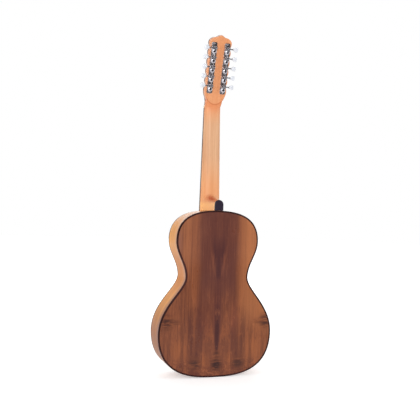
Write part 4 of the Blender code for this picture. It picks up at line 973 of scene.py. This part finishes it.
def make_worm(name):
    """Worm shaft along +X, outwards: inner journal, collar, rounded thread, collar and journal."""
    sides, per_turn = ROUND_SIDES, 24
    step = CIRCULAR_PITCH / per_turn
    root = WORM_PITCH_RADIUS - TOOTH_FALL
    rise = TOOTH_RISE + TOOTH_FALL
    reach = int(WORM_TURNS * per_turn / 2)
    inner_ear = -EAR_SPAN / 2 + EAR_THICKNESS / 2 + GAP
    thread_end = reach * step + 0.2 * MM
    journal = inner_ear - EAR_THICKNESS - 2 * GAP

    def ring(x, radii):
        return [(x, radius * sin(tau * i / sides), -radius * cos(tau * i / sides))
                for i, radius in enumerate(radii)]

    def plain(*stations):
        return [ring(x, [radius] * sides) for x, radius in stations]

    rings = plain((journal, SHAFT_RADIUS * 0.8), (journal + 0.3 * MM, SHAFT_RADIUS),
                  (inner_ear, SHAFT_RADIUS), (inner_ear, COLLAR_RADIUS),
                  (-thread_end - 0.1 * MM, COLLAR_RADIUS), (-thread_end, root))
    for k in range(-reach, reach + 1):
        fade = min(1, (reach - abs(k)) / 3)
        waves = [cos(tau * (k / per_turn - i / sides)) - THREAD_SHARE for i in range(sides)]
        rings.append(ring(k * step, [root + rise * fade / (1 + exp(-THREAD_CREST * wave)) for wave in waves]))
    rings += plain((thread_end, root), (thread_end + 0.1 * MM, COLLAR_RADIUS), (-inner_ear, COLLAR_RADIUS),
                   (-inner_ear, SHAFT_RADIUS), (BUTTON_START_X - POST_X + BUTTON_BORE - GAP, SHAFT_RADIUS))
    return loft(name, rings)


def make_button(name):
    """Fan-shaped button with a rounded rim, waisted at its neck and bored for the shaft."""
    start = BUTTON_START_X - POST_X
    bore = SHAFT_RADIUS + GAP
    rings = [[(start + depth, y, z) for y, z in circle(0, 0, radius, BUTTON_SIDES)]
             for depth, radius in ((BUTTON_BORE, bore), (0.2 * MM, bore), (0, bore + 0.2 * MM))]
    turns = [tau * k / BUTTON_SIDES for k in range(BUTTON_SIDES)]
    oval = [[copysign(abs(part) ** 0.82, part) for part in (sin(turn), cos(turn))] for turn in turns]
    for along, wide, thick in BUTTON_PROFILE:
        rings.append([(start + BUTTON_LENGTH * along, y * thick * BUTTON_THICKNESS / 2,
                       z * wide * BUTTON_WIDTH / 2) for y, z in oval])
    return loft(name, rings)


def make_ear(x, axis_t):
    """Ear square to the X axis, rounded over the worm's shaft."""
    seat = GAP + PLATE_METAL / 2
    crest = [(axis_t + EAR_RADIUS * cos(turn), WORM_AXIS_HEIGHT + EAR_RADIUS * sin(turn))
             for turn in sweep(pi, 20)]
    profile = [(axis_t + EAR_RADIUS, seat)] + crest + [(axis_t - EAR_RADIUS, seat)]
    hole = [(axis_t + z, WORM_AXIS_HEIGHT + y) for z, y in circle(0, 0, SHAFT_RADIUS + RUNNING_GAP, 24)]
    ear = prism("ear", profile, -EAR_THICKNESS / 2, EAR_THICKNESS / 2, [hole])
    ear.data.transform(Matrix(((0, 1, 0, x), (0, 0, 1, 0), (1, 0, 0, 0), (0, 0, 0, 1))))
    return soften(ear, 0.2 * MM, 50)


def make_tuner_plate(name, sign):
    """Strip plate of one side, with its ears and its slotted screws."""
    low = POST_TS[0] - TUNER_PLATE_START
    high = POST_TS[-1] + TUNER_PLATE_END
    half = TUNER_PLATE_WIDTH / 2
    bend = half / 2
    corner = [(half - bend + bend * cos(turn), bend * sin(turn)) for turn in sweep(pi / 2, 10)]
    top = [(x, high - bend + z) for x, z in corner] + [(-x, high - bend + z) for x, z in reversed(corner)]
    bottom = [(-x, low + bend - z) for x, z in corner] + [(x, low + bend - z) for x, z in reversed(corner)]
    outline = [(sign * POST_X + x, z) for x, z in top + bottom]
    plate = prism(name, outline, GAP, GAP + PLATE_METAL, post_holes((sign,)))
    parts = [soften(plate, 0.25 * MM, 50)]
    for t in POST_TS:
        for middle in (-EAR_SPAN / 2, EAR_SPAN / 2):
            parts.append(make_ear(sign * POST_X + middle, t + WORM_OFFSET))
    screws = [low + bend, high - bend]
    screws += [(t + WORM_OFFSET + t + TUNER_PITCH) / 2 for t in POST_TS[1:-1:2]]
    seat = GAP + PLATE_METAL
    for number, t in enumerate(screws):
        profile = [(seat + rise * MM, SCREW_RADIUS * share) for rise, share in SCREW_PROFILE]
        head = slotted_screw("screw", profile, 24, (-3 * MM, seat + 0.55 * MM, -0.28 * MM),
                             (3 * MM, seat + 3 * MM, 0.28 * MM), SCREW_TURNS[number % len(SCREW_TURNS)])
        head.data.transform(Matrix.Translation((sign * POST_X, 0, t)))
        parts.append(head)
    return join(name, parts)


# Materials, whose coordinates are metres in the object's own frame

def srgb(red, green, blue):
    """Scene colour of a display colour given as 0 to 255."""
    return tuple(((c / 255) / 12.92 if c <= 10 else ((c / 255 + 0.055) / 1.055) ** 2.4)
                 for c in (red, green, blue)) + (1.0,)


def is_socket(value):
    """Whether a value comes from another node."""
    return isinstance(value, bpy.types.NodeSocket)


class Nodes:
    """Short calls for the nodes of one tree."""

    def __init__(self, tree):
        self.tree = tree

    def add(self, kind, inputs=(), **settings):
        """A node with its settings, and its inputs linked or set."""
        made = self.tree.nodes.new("ShaderNode" + kind)
        for key, value in settings.items():
            setattr(made, key, value)
        for key, value in dict(inputs).items():
            if is_socket(value):
                self.tree.links.new(value, made.inputs[key])
            else:
                made.inputs[key].default_value = value
        return made

    def calc(self, operation, a, b=0.0, c=0.0, clamp=False):
        """Result of one math node."""
        return self.add("Math", {0: a, 1: b, 2: c}, operation=operation, use_clamp=clamp).outputs[0]

    def times(self, value, *others):
        """Product of values."""
        for other in others:
            value = self.calc("MULTIPLY", value, other)
        return value

    def near(self, value, middle):
        """Distance of a value from its middle."""
        return self.calc("ABSOLUTE", self.calc("SUBTRACT", value, middle))

    def split(self, place):
        """X, Y and Z of a place."""
        return self.add("SeparateXYZ", {0: place}).outputs

    def fade(self, value, start, end, low=0.0, high=1.0):
        """Smooth change from low to high as a value goes from start to end."""
        return self.add("MapRange", {0: value, 1: start, 2: end, 3: low, 4: high},
                        interpolation_type="SMOOTHSTEP").outputs[0]

    def choose(self, share, low, high):
        """Mix of two numbers."""
        return self.add("Mix", {0: share, 2: low, 3: high}).outputs[0]


class Paint(Nodes):
    """One Principled material, whose body is its colour so far."""

    def __init__(self, name, **fixed):
        self.look = bpy.data.materials.new(name)
        self.look.use_nodes = True
        super().__init__(self.look.node_tree)
        self.shader = self.tree.nodes["Principled BSDF"]
        for key, value in fixed.items():
            self.shader.inputs[key.replace("_", " ")].default_value = value
        self.place = self.add("TexCoord").outputs["Object"]
        self.height = self.body = None

    def mirrored(self, joint):
        """The place with its X folded over a joint, as in two matched boards."""
        x, y, z = self.split(self.place)
        return self.add("CombineXYZ", {0: self.near(x, joint), 1: y, 2: z}).outputs[0]

    def noise(self, scale, place, detail, rough, warp=0.0):
        """Noise value, with a frequency a metre for all axes or for each."""
        scale = scale if isinstance(scale, tuple) else (scale, scale, scale)
        scaled = self.add("Mapping", {0: place or self.place, "Scale": scale}).outputs[0]
        return self.add("TexNoise", {"Vector": scaled, "Scale": 1.0, "Detail": detail, "Roughness": rough,
                                     "Distortion": warp}).outputs[0]

    def ramp(self, value, stops, mode="LINEAR"):
        """Colour of a value between stops of (position, colour or grey)."""
        made = self.add("ValToRGB", {0: value})
        made.color_ramp.interpolation = mode
        points = made.color_ramp.elements
        while len(points) < len(stops):
            points.new(1.0)
        for point, (at, colour) in zip(points, stops):
            point.position = at
            point.color = srgb(*colour) if isinstance(colour, tuple) else (colour, colour, colour, 1.0)
        return made.outputs[0]

    def blend(self, share, low, high):
        """Mix of two colours."""
        low, high = (value if is_socket(value) else srgb(*value) for value in (low, high))
        return self.add("Mix", {0: share, 6: low, 7: high}, data_type="RGBA").outputs[2]

    def tint(self, mask, share, colour, *masks):
        """Blend a share of a colour into the body, where all the masks are."""
        self.body = self.blend(self.times(mask, *masks, share), self.body, colour)

    def spot(self, place, x, z, across, along, edge):
        """Mask that is 1 at an XZ place and falls to 0 at these radii."""
        parts = self.split(place)
        squares = [self.calc("POWER", self.calc("DIVIDE", self.calc("SUBTRACT", part, middle), reach), 2.0)
                   for part, middle, reach in ((parts[0], x, across), (parts[2], z, along))]
        return self.fade(self.calc("SQRT", self.calc("ADD", *squares)), 1.0, 1.0 - edge)

    def roughness(self, value, low, high):
        """Roughness that follows a value between two levels."""
        made = self.add("MapRange", {0: value, 1: 0.25, 2: 0.75, 3: low, 4: high}).outputs[0]
        self.tree.links.new(made, self.shader.inputs["Roughness"])

    def bump(self, value, distance, strength):
        """Relief of this many metres, on top of any before."""
        inputs = {"Height": value, "Distance": distance, "Strength": strength}
        if self.height:
            inputs["Normal"] = self.height
        self.height = self.add("Bump", inputs).outputs[0]
        self.tree.links.new(self.height, self.shader.inputs["Normal"])

    def done(self):
        """The material, in the colour of its body."""
        self.tree.links.new(self.body, self.shader.inputs["Base Color"])
        return self.look


def wood(name, light, dark, pore, along, pitch, gloss, level, joint, broad, pores):
    """Paint, place and tone of a wood with broad bands, growth lines and pores along these axes."""
    paint = Paint(name, Specular_IOR_Level=level)
    place = paint.place if joint is None else paint.mirrored(joint)

    def grain(across, length, *rest):
        return paint.noise(tuple(length if axis in along else across for axis in "XYZ"), place, *rest)

    bands = grain(70 * pitch, 3, 3, 0.55, 0.4)
    lines = grain(520 * pitch, 7, 4, 0.6, 0.3)
    fine = grain(2600 * pitch, 60, 2, 0.5)
    tone = paint.calc("ADD", paint.times(bands, broad), paint.times(lines, 1 - broad))
    paint.body = paint.ramp(tone, ((0.34, dark), (0.66, light)))
    paint.tint(paint.ramp(fine, ((0.56, 0.0), (0.68, 1.0))), pores, pore)
    paint.roughness(paint.noise((30, 30, 18), None, 3, 0.6), *gloss)
    paint.bump(fine, 0.00003, 0.35)
    paint.bump(lines, 0.00005, 0.25)
    return paint, place, tone


def make_walnut():
    """Matched walnut of the back: dark heart with a flame, arched lobes below it, knots and curly eyes."""
    paint, place, tone = wood("walnut_back", (152, 88, 55), (96, 53, 39), (48, 27, 24), "Z", 0.8,
                              (0.26, 0.38), 0.2, BOARD_JOINT_X, 0.5, 0.3)
    calc, times, fade, noise, tint, spot = (paint.calc, paint.times, paint.fade, paint.noise, paint.tint,
                                            paint.spot)
    parts = paint.split(place)
    drift = times(calc("SUBTRACT", noise((16, 16, 6), place, 3, 0.5), 0.5), 0.03)
    across, height = calc("ADD", parts[0], drift), parts[2]
    strong = calc("MULTIPLY_ADD", tone, 3.2, -1.0, True)
    weak = calc("MULTIPLY_ADD", tone, -3.2, 2.2, True)

    # dark heart along the joint, with a darker flame and paler veins beside it
    heart = times(fade(across, 0.066, 0.04), fade(height, 0.17, 0.27, 0.35))
    tint(fade(across, 0.036, 0.056), 0.3, (160, 100, 74), fade(height, 0.28, 0.34))
    tint(heart, 0.75, (88, 50, 48))
    broken = fade(noise((70, 1, 22), place, 4, 0.6, 0.6), 0.4, 0.6, 0.15)
    tint(heart, 0.5, (128, 74, 56), fade(noise((150, 1, 9), place, 3, 0.6, 0.4), 0.52, 0.66))
    span = calc("MULTIPLY_ADD", calc("SUBTRACT", height, FLAME_Z), 0.17, 0.003)
    flame = calc("DIVIDE", across, calc("MAXIMUM", span, 0.003))
    reach = times(fade(height, FLAME_Z - 0.014, FLAME_Z + 0.01), fade(height, 0.4, 0.33))
    tint(fade(flame, 1.3, 0.6), 0.6, (70, 40, 44), reach)
    tint(fade(paint.near(flame, 1.45), 0.4, 0.1), 0.42, (136, 80, 58), reach, broken)
    # below the flame: darker bands, arched lobes and the dark joint between them
    tint(fade(paint.near(across, 0.06), 0.036, 0.008), 0.6, (88, 47, 40), fade(height, 0.2, 0.15), weak)
    arch_height = calc("MULTIPLY_ADD", calc("POWER", calc("SUBTRACT", across, LOBE_X), 2.0), 330.0, height)
    arches = noise((1, 1, 75), paint.add("CombineXYZ", {2: arch_height}).outputs[0], 3, 0.6)
    tint(fade(arch_height, 0.18, 0.16), 0.5, (154, 88, 55), fade(height, 0.05, 0.1, 0.3),
         fade(arches, 0.38, 0.56, 0.1), broken)
    tint(spot(place, 0.0, 0.165, 0.02, 0.13, 0.8), 0.62, (86, 46, 44))
    tint(spot(place, 0.0, 0.12, 0.0085, 0.09, 0.6), 0.8, (66, 34, 36))
    short = noise((150, 1, 30), place, 4, 0.7, 0.9)
    low = fade(height, 0.25, 0.17, 0.25)
    tint(fade(short, 0.55, 0.68), 0.5, (78, 42, 38), low)
    tint(fade(short, 0.45, 0.34), 0.28, (172, 102, 66), low)
    tint(fade(across, 0.062, 0.095), 0.75, (188, 118, 76), fade(height, 0.24, 0.32), strong)
    # the treble board is a little darker and greyer along its edge, and the bass board more amber towards its
    # edge; the darker treble board and the amber bass edge are painted light, as if the bass side were lit
    # more
    board = paint.split(paint.place)[0]
    tint(fade(board, 0.02, 0.12), 0.12, (92, 58, 56))
    tint(fade(board, -0.05, -0.095), 0.45, (190, 120, 76), fade(height, 0.1, 0.2, 0.15))
    for x, z, wide, tall, share, colour in BOARD_SPOTS:
        tint(spot(paint.place, x, z, wide, tall, 0.9), share, colour)
    # curly figure in the eyes at the tail and in the knots near the edge
    dark = fade(noise((30, 30, 150), None, 4, 0.65, 0.9), 0.4, 0.52, 0.3)
    tail = fade(height, 0.062, 0.03)
    mottle = noise((75, 1, 110), None, 4, 0.7, 1.3)
    tint(fade(mottle, 0.5, 0.62), 0.5, (86, 42, 40), tail)
    tint(fade(mottle, 0.46, 0.36), 0.4, (176, 106, 72), tail)
    for x, z, wide, tall, share in EYES:
        eye = spot(place, x, z, wide, tall, 0.85)
        tint(eye, share * 0.6, (156, 90, 56))
        tint(eye, share, (50, 29, 30), dark)
    for x, z, wide, tall in PALE_SPOTS:
        tint(spot(place, x, z, wide, tall, 0.9), 0.45, (168, 98, 58), strong)
    return paint.done()


def make_side_wood():
    """Side wood: amber at the upper bout, browner towards the lower bout and the back's binding; its
    darkening towards the lower bout, at the waist and at the top beside the neck is painted shade.
    """
    paint, place, _ = wood("side_wood_bent", (236, 168, 92), (206, 134, 66), (128, 76, 44), "XZ", 0.9,
                           (0.3, 0.42), 0.06, None, 0.6, 0.25)
    _, y, z = paint.split(place)
    # painted shade: darker and browner towards the lower bout, and a darker amber band at the waist
    paint.tint(paint.fade(z, 0.24, 0.1), 0.75, (134, 80, 64))
    paint.tint(paint.fade(z, 0.36, 0.31), 0.6, (190, 112, 54), paint.fade(z, 0.2, 0.26))
    # painted shade: a browner band along the top of the side, beside the neck's heel
    paint.tint(paint.fade(z, 0.4, 0.44), 0.35, (158, 104, 66))
    rim = paint.blend(paint.fade(z, 0.2, 0.3), (146, 104, 96), (204, 158, 132))
    paint.tint(paint.fade(y, BACK_Y - 0.03, BACK_Y - 0.012), 0.5, rim)
    return paint.done()


def make_cedar():
    """Light orange cedar of the neck, redder at the foot of the heel's sweep, with painted light and shade on
    the heel and where the head meets the shaft.
    """
    paint, place, _ = wood("cedar_neck", (236, 190, 150), (204, 146, 106), (150, 92, 60), "YZ", 1.0,
                           (0.26, 0.38), 0.15, None, 0.55, 0.2)
    x, y, z = paint.split(place)
    paint.tint(paint.fade(z, 0.62, 0.5), 0.5, (244, 160, 98))
    paint.tint(paint.fade(z, 0.68, 0.745), 0.55, (238, 146, 90))
    # painted shade round the back in an arc where the head's flat back runs into the shaft's round back: a
    # dark line on the arc and a redder band below it
    bow = paint.times(x, x, CREASE_SHADE_BOW)
    rise = paint.calc("SUBTRACT", paint.calc("SUBTRACT", z, CREASE_SHADE_Z), bow)
    behind = paint.fade(y, FRONT_Y + 0.004, FRONT_Y + 0.01)
    for low, high, share, colour in ((-0.03, -0.004, 0.4, (226, 126, 78)),
                                     (-0.0034, -0.0006, 0.5, (186, 100, 58))):
        paint.tint(paint.fade(rise, low, high), share, colour, paint.fade(rise, 0.0022, 0.0), behind)
    # the dark layer behind the head's veneer, made deep enough that it also serves as painted shade along the
    # head's edges
    out = HEAD_MATRIX.col[1].to_3d()
    layer = paint.add("VectorMath", {0: place, 1: tuple(out)}, operation="DOT_PRODUCT").outputs["Value"]
    foot = out.dot(head_to_world(0, -HEAD_WOOD, 0))
    paint.tint(paint.calc("LESS_THAN", layer, foot + HEAD_LAYER), 0.85, (52, 34, 34),
               paint.calc("GREATER_THAN", z, HEAD_BREAK_Z + HEAD_RUN_OUT))
    # pale foot of the shaft, painted light where the heel's side catches the lamps, with a red mottled patch
    # above it in the hollow of the heel's sweep, partly end grain and partly painted shade
    paint.tint(paint.fade(z, 0.478, 0.466), 0.7, (255, 196, 128))
    mottled = paint.fade(paint.noise(220, place, 3, 0.6), 0.35, 0.6, 0.45, 0.9)
    paint.tint(paint.spot(place, 0.006, 0.482, 0.018, 0.018, 0.9), 1.0, (172, 62, 32), mottled)
    return paint.done()


def plain_wood(*grain):
    """Wood with no figure of its own, as wood() takes it."""
    return wood(*grain)[0].done()


def make_ebony(name, light=(70, 52, 58), dark=(28, 20, 24), gloss=(0.2, 0.34), along="Z", level=0.3):
    """Near-black wood with brown streaks."""
    return plain_wood(name, light, dark, (14, 10, 12), along, 1.4, gloss, level, None, 0.45, 0.5)


def make_rosette_inlay():
    """Rosette: fine dark and light rings on both sides of a band of slanted wedges."""
    paint = Paint("rosette_inlay", Specular_IOR_Level=0.4)
    x, _, z = paint.split(paint.place)
    z = paint.calc("SUBTRACT", z, SOUNDHOLE_Z)
    far = paint.calc("SQRT", paint.calc("ADD", paint.times(x, x), paint.times(z, z)))
    share = paint.calc("DIVIDE", paint.calc("SUBTRACT", far, ROSETTE_INNER), ROSETTE_WIDTH)
    turn = paint.times(paint.calc("ARCTAN2", x, z), ROSETTE_WEDGES / tau)
    wedge = paint.calc("FRACT", paint.calc("MULTIPLY_ADD", paint.near(share, 0.5), 2.6, turn))
    pale, dark, red = (226, 188, 132), (36, 22, 20), (140, 62, 36)
    band = paint.ramp(wedge, ((0.0, pale), (0.42, red), (0.58, dark), (0.9, dark)), "CONSTANT")
    rings = paint.ramp(share, ((0.0, dark), (0.07, pale), (0.13, dark), (0.2, red), (0.24, dark), (0.76, red),
                               (0.8, dark), (0.87, pale), (0.93, dark)), "CONSTANT")
    inside = paint.ramp(share, ((0.0, 0.0), (0.24, 1.0), (0.76, 0.0)), "CONSTANT")
    grain = paint.noise(900, None, 3, 0.6)
    paint.body = paint.blend(inside, rings, band)
    paint.tint(grain, 0.25, (60, 36, 26))
    paint.roughness(grain, 0.22, 0.34)
    paint.bump(grain, 0.00002, 0.4)
    return paint.done()


def make_metal(name, colour, worn, gloss, scale=1.0, spread=(0.45, 0.7, 0.6)):
    """Plated or turned metal with fine brushing and dull patches."""
    paint = Paint(name, Metallic=1.0)
    patches = paint.noise(260 * scale, None, 4, 0.6)
    paint.body = paint.blend(paint.ramp(patches, ((spread[0], 0.0), (spread[1], spread[2]))), colour, worn)
    paint.roughness(patches, *gloss)
    paint.bump(patches, 0.0001, 0.4)
    paint.bump(paint.noise((6000, 900, 6000), None, 2, 0.5), 0.00001, 0.35)
    return paint.done()


def make_string_metal(name, colour, dull, pitch):
    """String wire; a wound one has ridges this far apart along Z."""
    paint = Paint(name, Metallic=1.0)
    tarnish = paint.noise((400, 400, 60), None, 3, 0.6)
    paint.body = paint.blend(tarnish, colour, dull)
    paint.roughness(tarnish, 0.2, 0.36)
    if pitch:
        wave = paint.calc("SINE", paint.times(paint.split(paint.place)[2], tau / pitch))
        paint.bump(wave, 0.00004, 0.8)
    else:
        paint.bump(paint.noise((3000, 3000, 200), None, 2, 0.5), 0.000005, 0.4)
    return paint.done()


def make_bone(name, light=(240, 232, 210), dark=(222, 206, 172)):
    """Polished bone with faint darker streaks."""
    paint = Paint(name, Specular_IOR_Level=0.45, Subsurface_Weight=0.15, Subsurface_Scale=0.002)
    streaks = paint.noise((160, 500, 900), None, 4, 0.6, 0.5)
    paint.body = paint.ramp(streaks, ((0.35, dark), (0.62, light)))
    paint.roughness(streaks, 0.24, 0.36)
    paint.bump(streaks, 0.00002, 0.3)
    return paint.done()


def make_pearloid():
    """Pearl plastic: pale bluish swirls under a hard gloss."""
    paint = Paint("pearloid_swirl", Specular_IOR_Level=0.4, Coat_Weight=0.25, Coat_Roughness=0.1)
    swirl = paint.noise(210, None, 3, 0.55, 2.4)
    paint.body = paint.ramp(swirl, ((0.3, (206, 210, 220)), (0.5, (230, 233, 240)), (0.72, (240, 242, 247))))
    paint.tint(paint.noise(90, None, 2, 0.5, 1.2), 0.25, (212, 214, 220))
    paint.roughness(swirl, 0.14, 0.28)
    paint.bump(swirl, 0.00004, 0.25)
    return paint.done()


LOOKS = {
    "walnut": make_walnut(), "side_wood": make_side_wood(), "cedar": make_cedar(),
    "spruce": plain_wood("spruce_board", (236, 198, 142), (206, 156, 96), (176, 122, 70), "Z", 1.5,
                         (0.2, 0.32), 0.4, 0.0, 0.35, 0.2),
    "block_wood": plain_wood("block_softwood", (206, 162, 108), (168, 120, 72), (120, 80, 48), "Y", 0.8,
                             (0.6, 0.75), 0.3, None, 0.5, 0.3),
    "binding": make_ebony("binding_wood", (74, 44, 42), (36, 21, 21), (0.36, 0.5), "XZ", 0.03),
    "cap": make_ebony("heel_cap_wood", (60, 50, 66), (40, 32, 46)), "veneer": make_ebony("veneer_wood"),
    "fingerboard": make_ebony("fingerboard_ebony", (62, 44, 38), (24, 17, 16), (0.34, 0.48)),
    "bridge": make_ebony("bridge_ebony", (64, 44, 36), (26, 18, 16), (0.3, 0.44), "X"),
    "rosette": make_rosette_inlay(), "bone": make_bone("bone_polished"),
    "dots": make_bone("dot_pearl", (238, 238, 234), (196, 204, 204)),
    "nickel": make_metal("nickel_plate", (230, 224, 226), (114, 102, 106), (0.2, 0.36), 1.7,
                         (0.42, 0.58, 0.9)),
    "frets": make_metal("fret_nickel", (220, 218, 212), (180, 176, 168), (0.16, 0.28)),
    "post": make_metal("post_nickel", (216, 216, 222), (140, 138, 144), (0.08, 0.18), 1.4, (0.5, 0.7, 0.6)),
    "steel": make_metal("worm_steel", (186, 186, 192), (104, 102, 106), (0.14, 0.28), 1.4, (0.45, 0.65, 0.8)),
    # the gear screws' dark colour is painted reflection, standing in for the dark that each screw's dome
    # reflects
    "screw": make_metal("screw_steel_painted_dark", (84, 80, 86), (48, 44, 48), (0.1, 0.24), 1.4, (0.45, 0.65, 0.8)),
    "pearloid": make_pearloid(),
    "plain": make_string_metal("string_plain", (214, 214, 216), (164, 162, 160), 0),
    "wound": make_string_metal("string_wound", (206, 196, 184), (140, 118, 96), 0.00035),
}


# Assembly on the bodies of the frame

for made, look, slot, node in (
        (make_soundboard(), "spruce", "spruce", "soundboard"),
        (make_rosette(), "rosette", "ebony", "rosette"),
        (make_back(), "walnut", "walnut", "back"),
        (make_side("treble_side_wood", 1), "side_wood", "side_wood", "treble_side"),
        (make_side("bass_side_wood", -1), "side_wood", "side_wood", "bass_side"),
        (make_binding("front_binding_strip", FRONT_Y, 1), "binding", "ebony", "front_binding"),
        (make_binding("back_binding_strip", BACK_Y, -1), "binding", "ebony", "back_binding"),
        (make_purfling("front_purfling", FRONT_Y, 1), "binding", "ebony", "soundboard"),
        (make_purfling("back_purfling", BACK_Y, -1), "binding", "ebony", "back"),
        (make_neck(), "cedar", "cedar", "neck"),
        (make_heel_cap(), "cap", "ebony", "heel_cap"),
        (make_veneer(), "veneer", "ebony", "head_veneer"),
        (make_fingerboard(), "fingerboard", "ebony", "fingerboard"),
        (make_frets(), "frets", "nickel", "fingerboard"),
        (make_dots(), "dots", "bone", "fingerboard"),
        (make_nut(), "bone", "bone", "nut"),
        (make_bridge(), "bridge", "ebony", "bridge"),
        (make_saddle(), "bone", "bone", "saddle")):
    dress(made, ROOT, LOOKS[look], slot, node)
for block in ("neck_block", "end_block"):
    paint_over(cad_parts[block], LOOKS["block_wood"])

for string in strings():
    sign, number, gauge = string[:3]
    node = f"{'treble' if sign > 0 else 'bass'}_string_{number + 1}"
    wire, ball = make_string(f"{node}_wire", string)
    dress(wire, ROOT, LOOKS["wound" if gauge > WOUND_FROM else "plain"], "string_steel", node)
    dress(ball, ROOT, LOOKS["post"], "brass", node)

for side, sign in (("treble", 1), ("bass", -1)):
    plate = on_head(make_tuner_plate(f"{side}_strip_plate", sign))
    dress(plate, ROOT, LOOKS["nickel"], "nickel", f"{side}_tuner_plate")
    for number, t in enumerate(POST_TS, 1):
        post = make_post(f"{side}_capstan_post_{number}", f"{side}_gear_screw_{number}")
        for made, look in zip(post, ("post", "screw")):
            dress(on_head(made, sign * POST_X, 0, t), f"{side}_capstan_{number}", LOOKS[look], "brass",
                  f"{side}_post_{number}")
        for make, kind, look in ((make_worm, "worm", "steel"), (make_button, "button", "pearloid")):
            made = on_head(make(f"{side}_{kind}_{number}_fine"), sign * POST_X, WORM_AXIS_HEIGHT,
                           t + WORM_OFFSET, sign < 0)
            dress(made, f"{side}_tuner_{number}", LOOKS[look], look, f"{side}_{kind}_{number}")


# Studio: floor, light and the photograph's camera

def make_floor():
    """Wide pale floor that keeps the shadow and shows white where nothing shades it."""
    floor = box("studio_floor", (-FLOOR_REACH, -1.5 * FLOOR_REACH, -FLOOR_THICKNESS - FLOOR_GAP),
                (FLOOR_REACH, FLOOR_FRONT, -FLOOR_GAP))
    paint = Paint("floor_white", Roughness=0.9, Specular_IOR_Level=0.1, Emission_Color=(1, 1, 1, 1))
    grain = paint.noise(12, None, 2, 0.5)
    paint.body = paint.ramp(grain, ((0.3, (240, 240, 240)), (0.7, (244, 244, 244))))
    rays = paint.add("LightPath").outputs
    seen = paint.calc("MAXIMUM", paint.calc("MAXIMUM", rays["Is Camera Ray"], rays["Is Glossy Ray"]),
                      rays["Is Transmission Ray"])
    far = paint.add("VectorMath", {0: paint.place}, operation="LENGTH").outputs["Value"]
    glow = paint.fade(far, 0.5, 3.0, FLOOR_GLOW, FAR_FLOOR_GLOW)
    paint.tree.links.new(paint.times(seen, glow), paint.shader.inputs["Emission Strength"])
    floor.data.materials.append(paint.done())


def make_world():
    """White backdrop for the camera and in gloss, where the room behind the camera is dark on one side."""
    world = bpy.data.worlds.new("studio")
    bpy.context.scene.world = world
    world.use_nodes = True
    nodes = Nodes(world.node_tree)
    rays = nodes.add("LightPath").outputs
    parts = nodes.split(nodes.add("TexCoord").outputs["Generated"])
    across = nodes.fade(parts[0], -0.25, 0.35, ROOM_DARK)
    studio = nodes.choose(nodes.fade(parts[1], 0.0, 0.4), 1.0, across)
    strength = nodes.choose(rays["Is Glossy Ray"], WORLD_LIGHT, studio)
    for ray in ("Is Transmission Ray", "Is Camera Ray"):
        strength = nodes.choose(rays[ray], strength, 1.0)
    ground = world.node_tree.nodes["Background"]
    ground.inputs["Color"].default_value = (1, 1, 1, 1)
    world.node_tree.links.new(strength, ground.inputs["Strength"])


def soft_light(name, start, size, power):
    """Square area light that faces the middle of the instrument."""
    lamp = bpy.data.lights.new(name, "AREA")
    lamp.shape = "SQUARE"
    lamp.size = size
    lamp.energy = power
    made = put(name, lamp)
    made.location = start
    made.rotation_euler = (Vector(LIGHT_TARGET) - Vector(start)).to_track_quat("-Z", "Y").to_euler()


def make_camera():
    """Camera behind the instrument on its treble side, rolled a little, as in the photograph."""
    lens = bpy.data.cameras.new("camera")
    lens.sensor_width = CAMERA_SENSOR
    lens.lens = CAMERA_LENS
    made = put("camera", lens)
    turn, lift = radians(CAMERA_AZIMUTH), radians(CAMERA_ELEVATION)
    away = Vector((sin(turn) * cos(lift), cos(turn) * cos(lift), sin(lift)))
    target = Vector(CAMERA_TARGET)
    made.location = target + away * CAMERA_DISTANCE
    facing = (-away).to_track_quat("-Z", "Y")
    made.rotation_euler = (facing.to_matrix() @ Matrix.Rotation(radians(CAMERA_ROLL), 3, "Z")).to_euler()
    bpy.context.scene.camera = made


make_floor()
make_world()
for light in LIGHTS:
    soft_light(*light)
make_camera()
bpy.context.scene.view_settings.view_transform = "Standard"
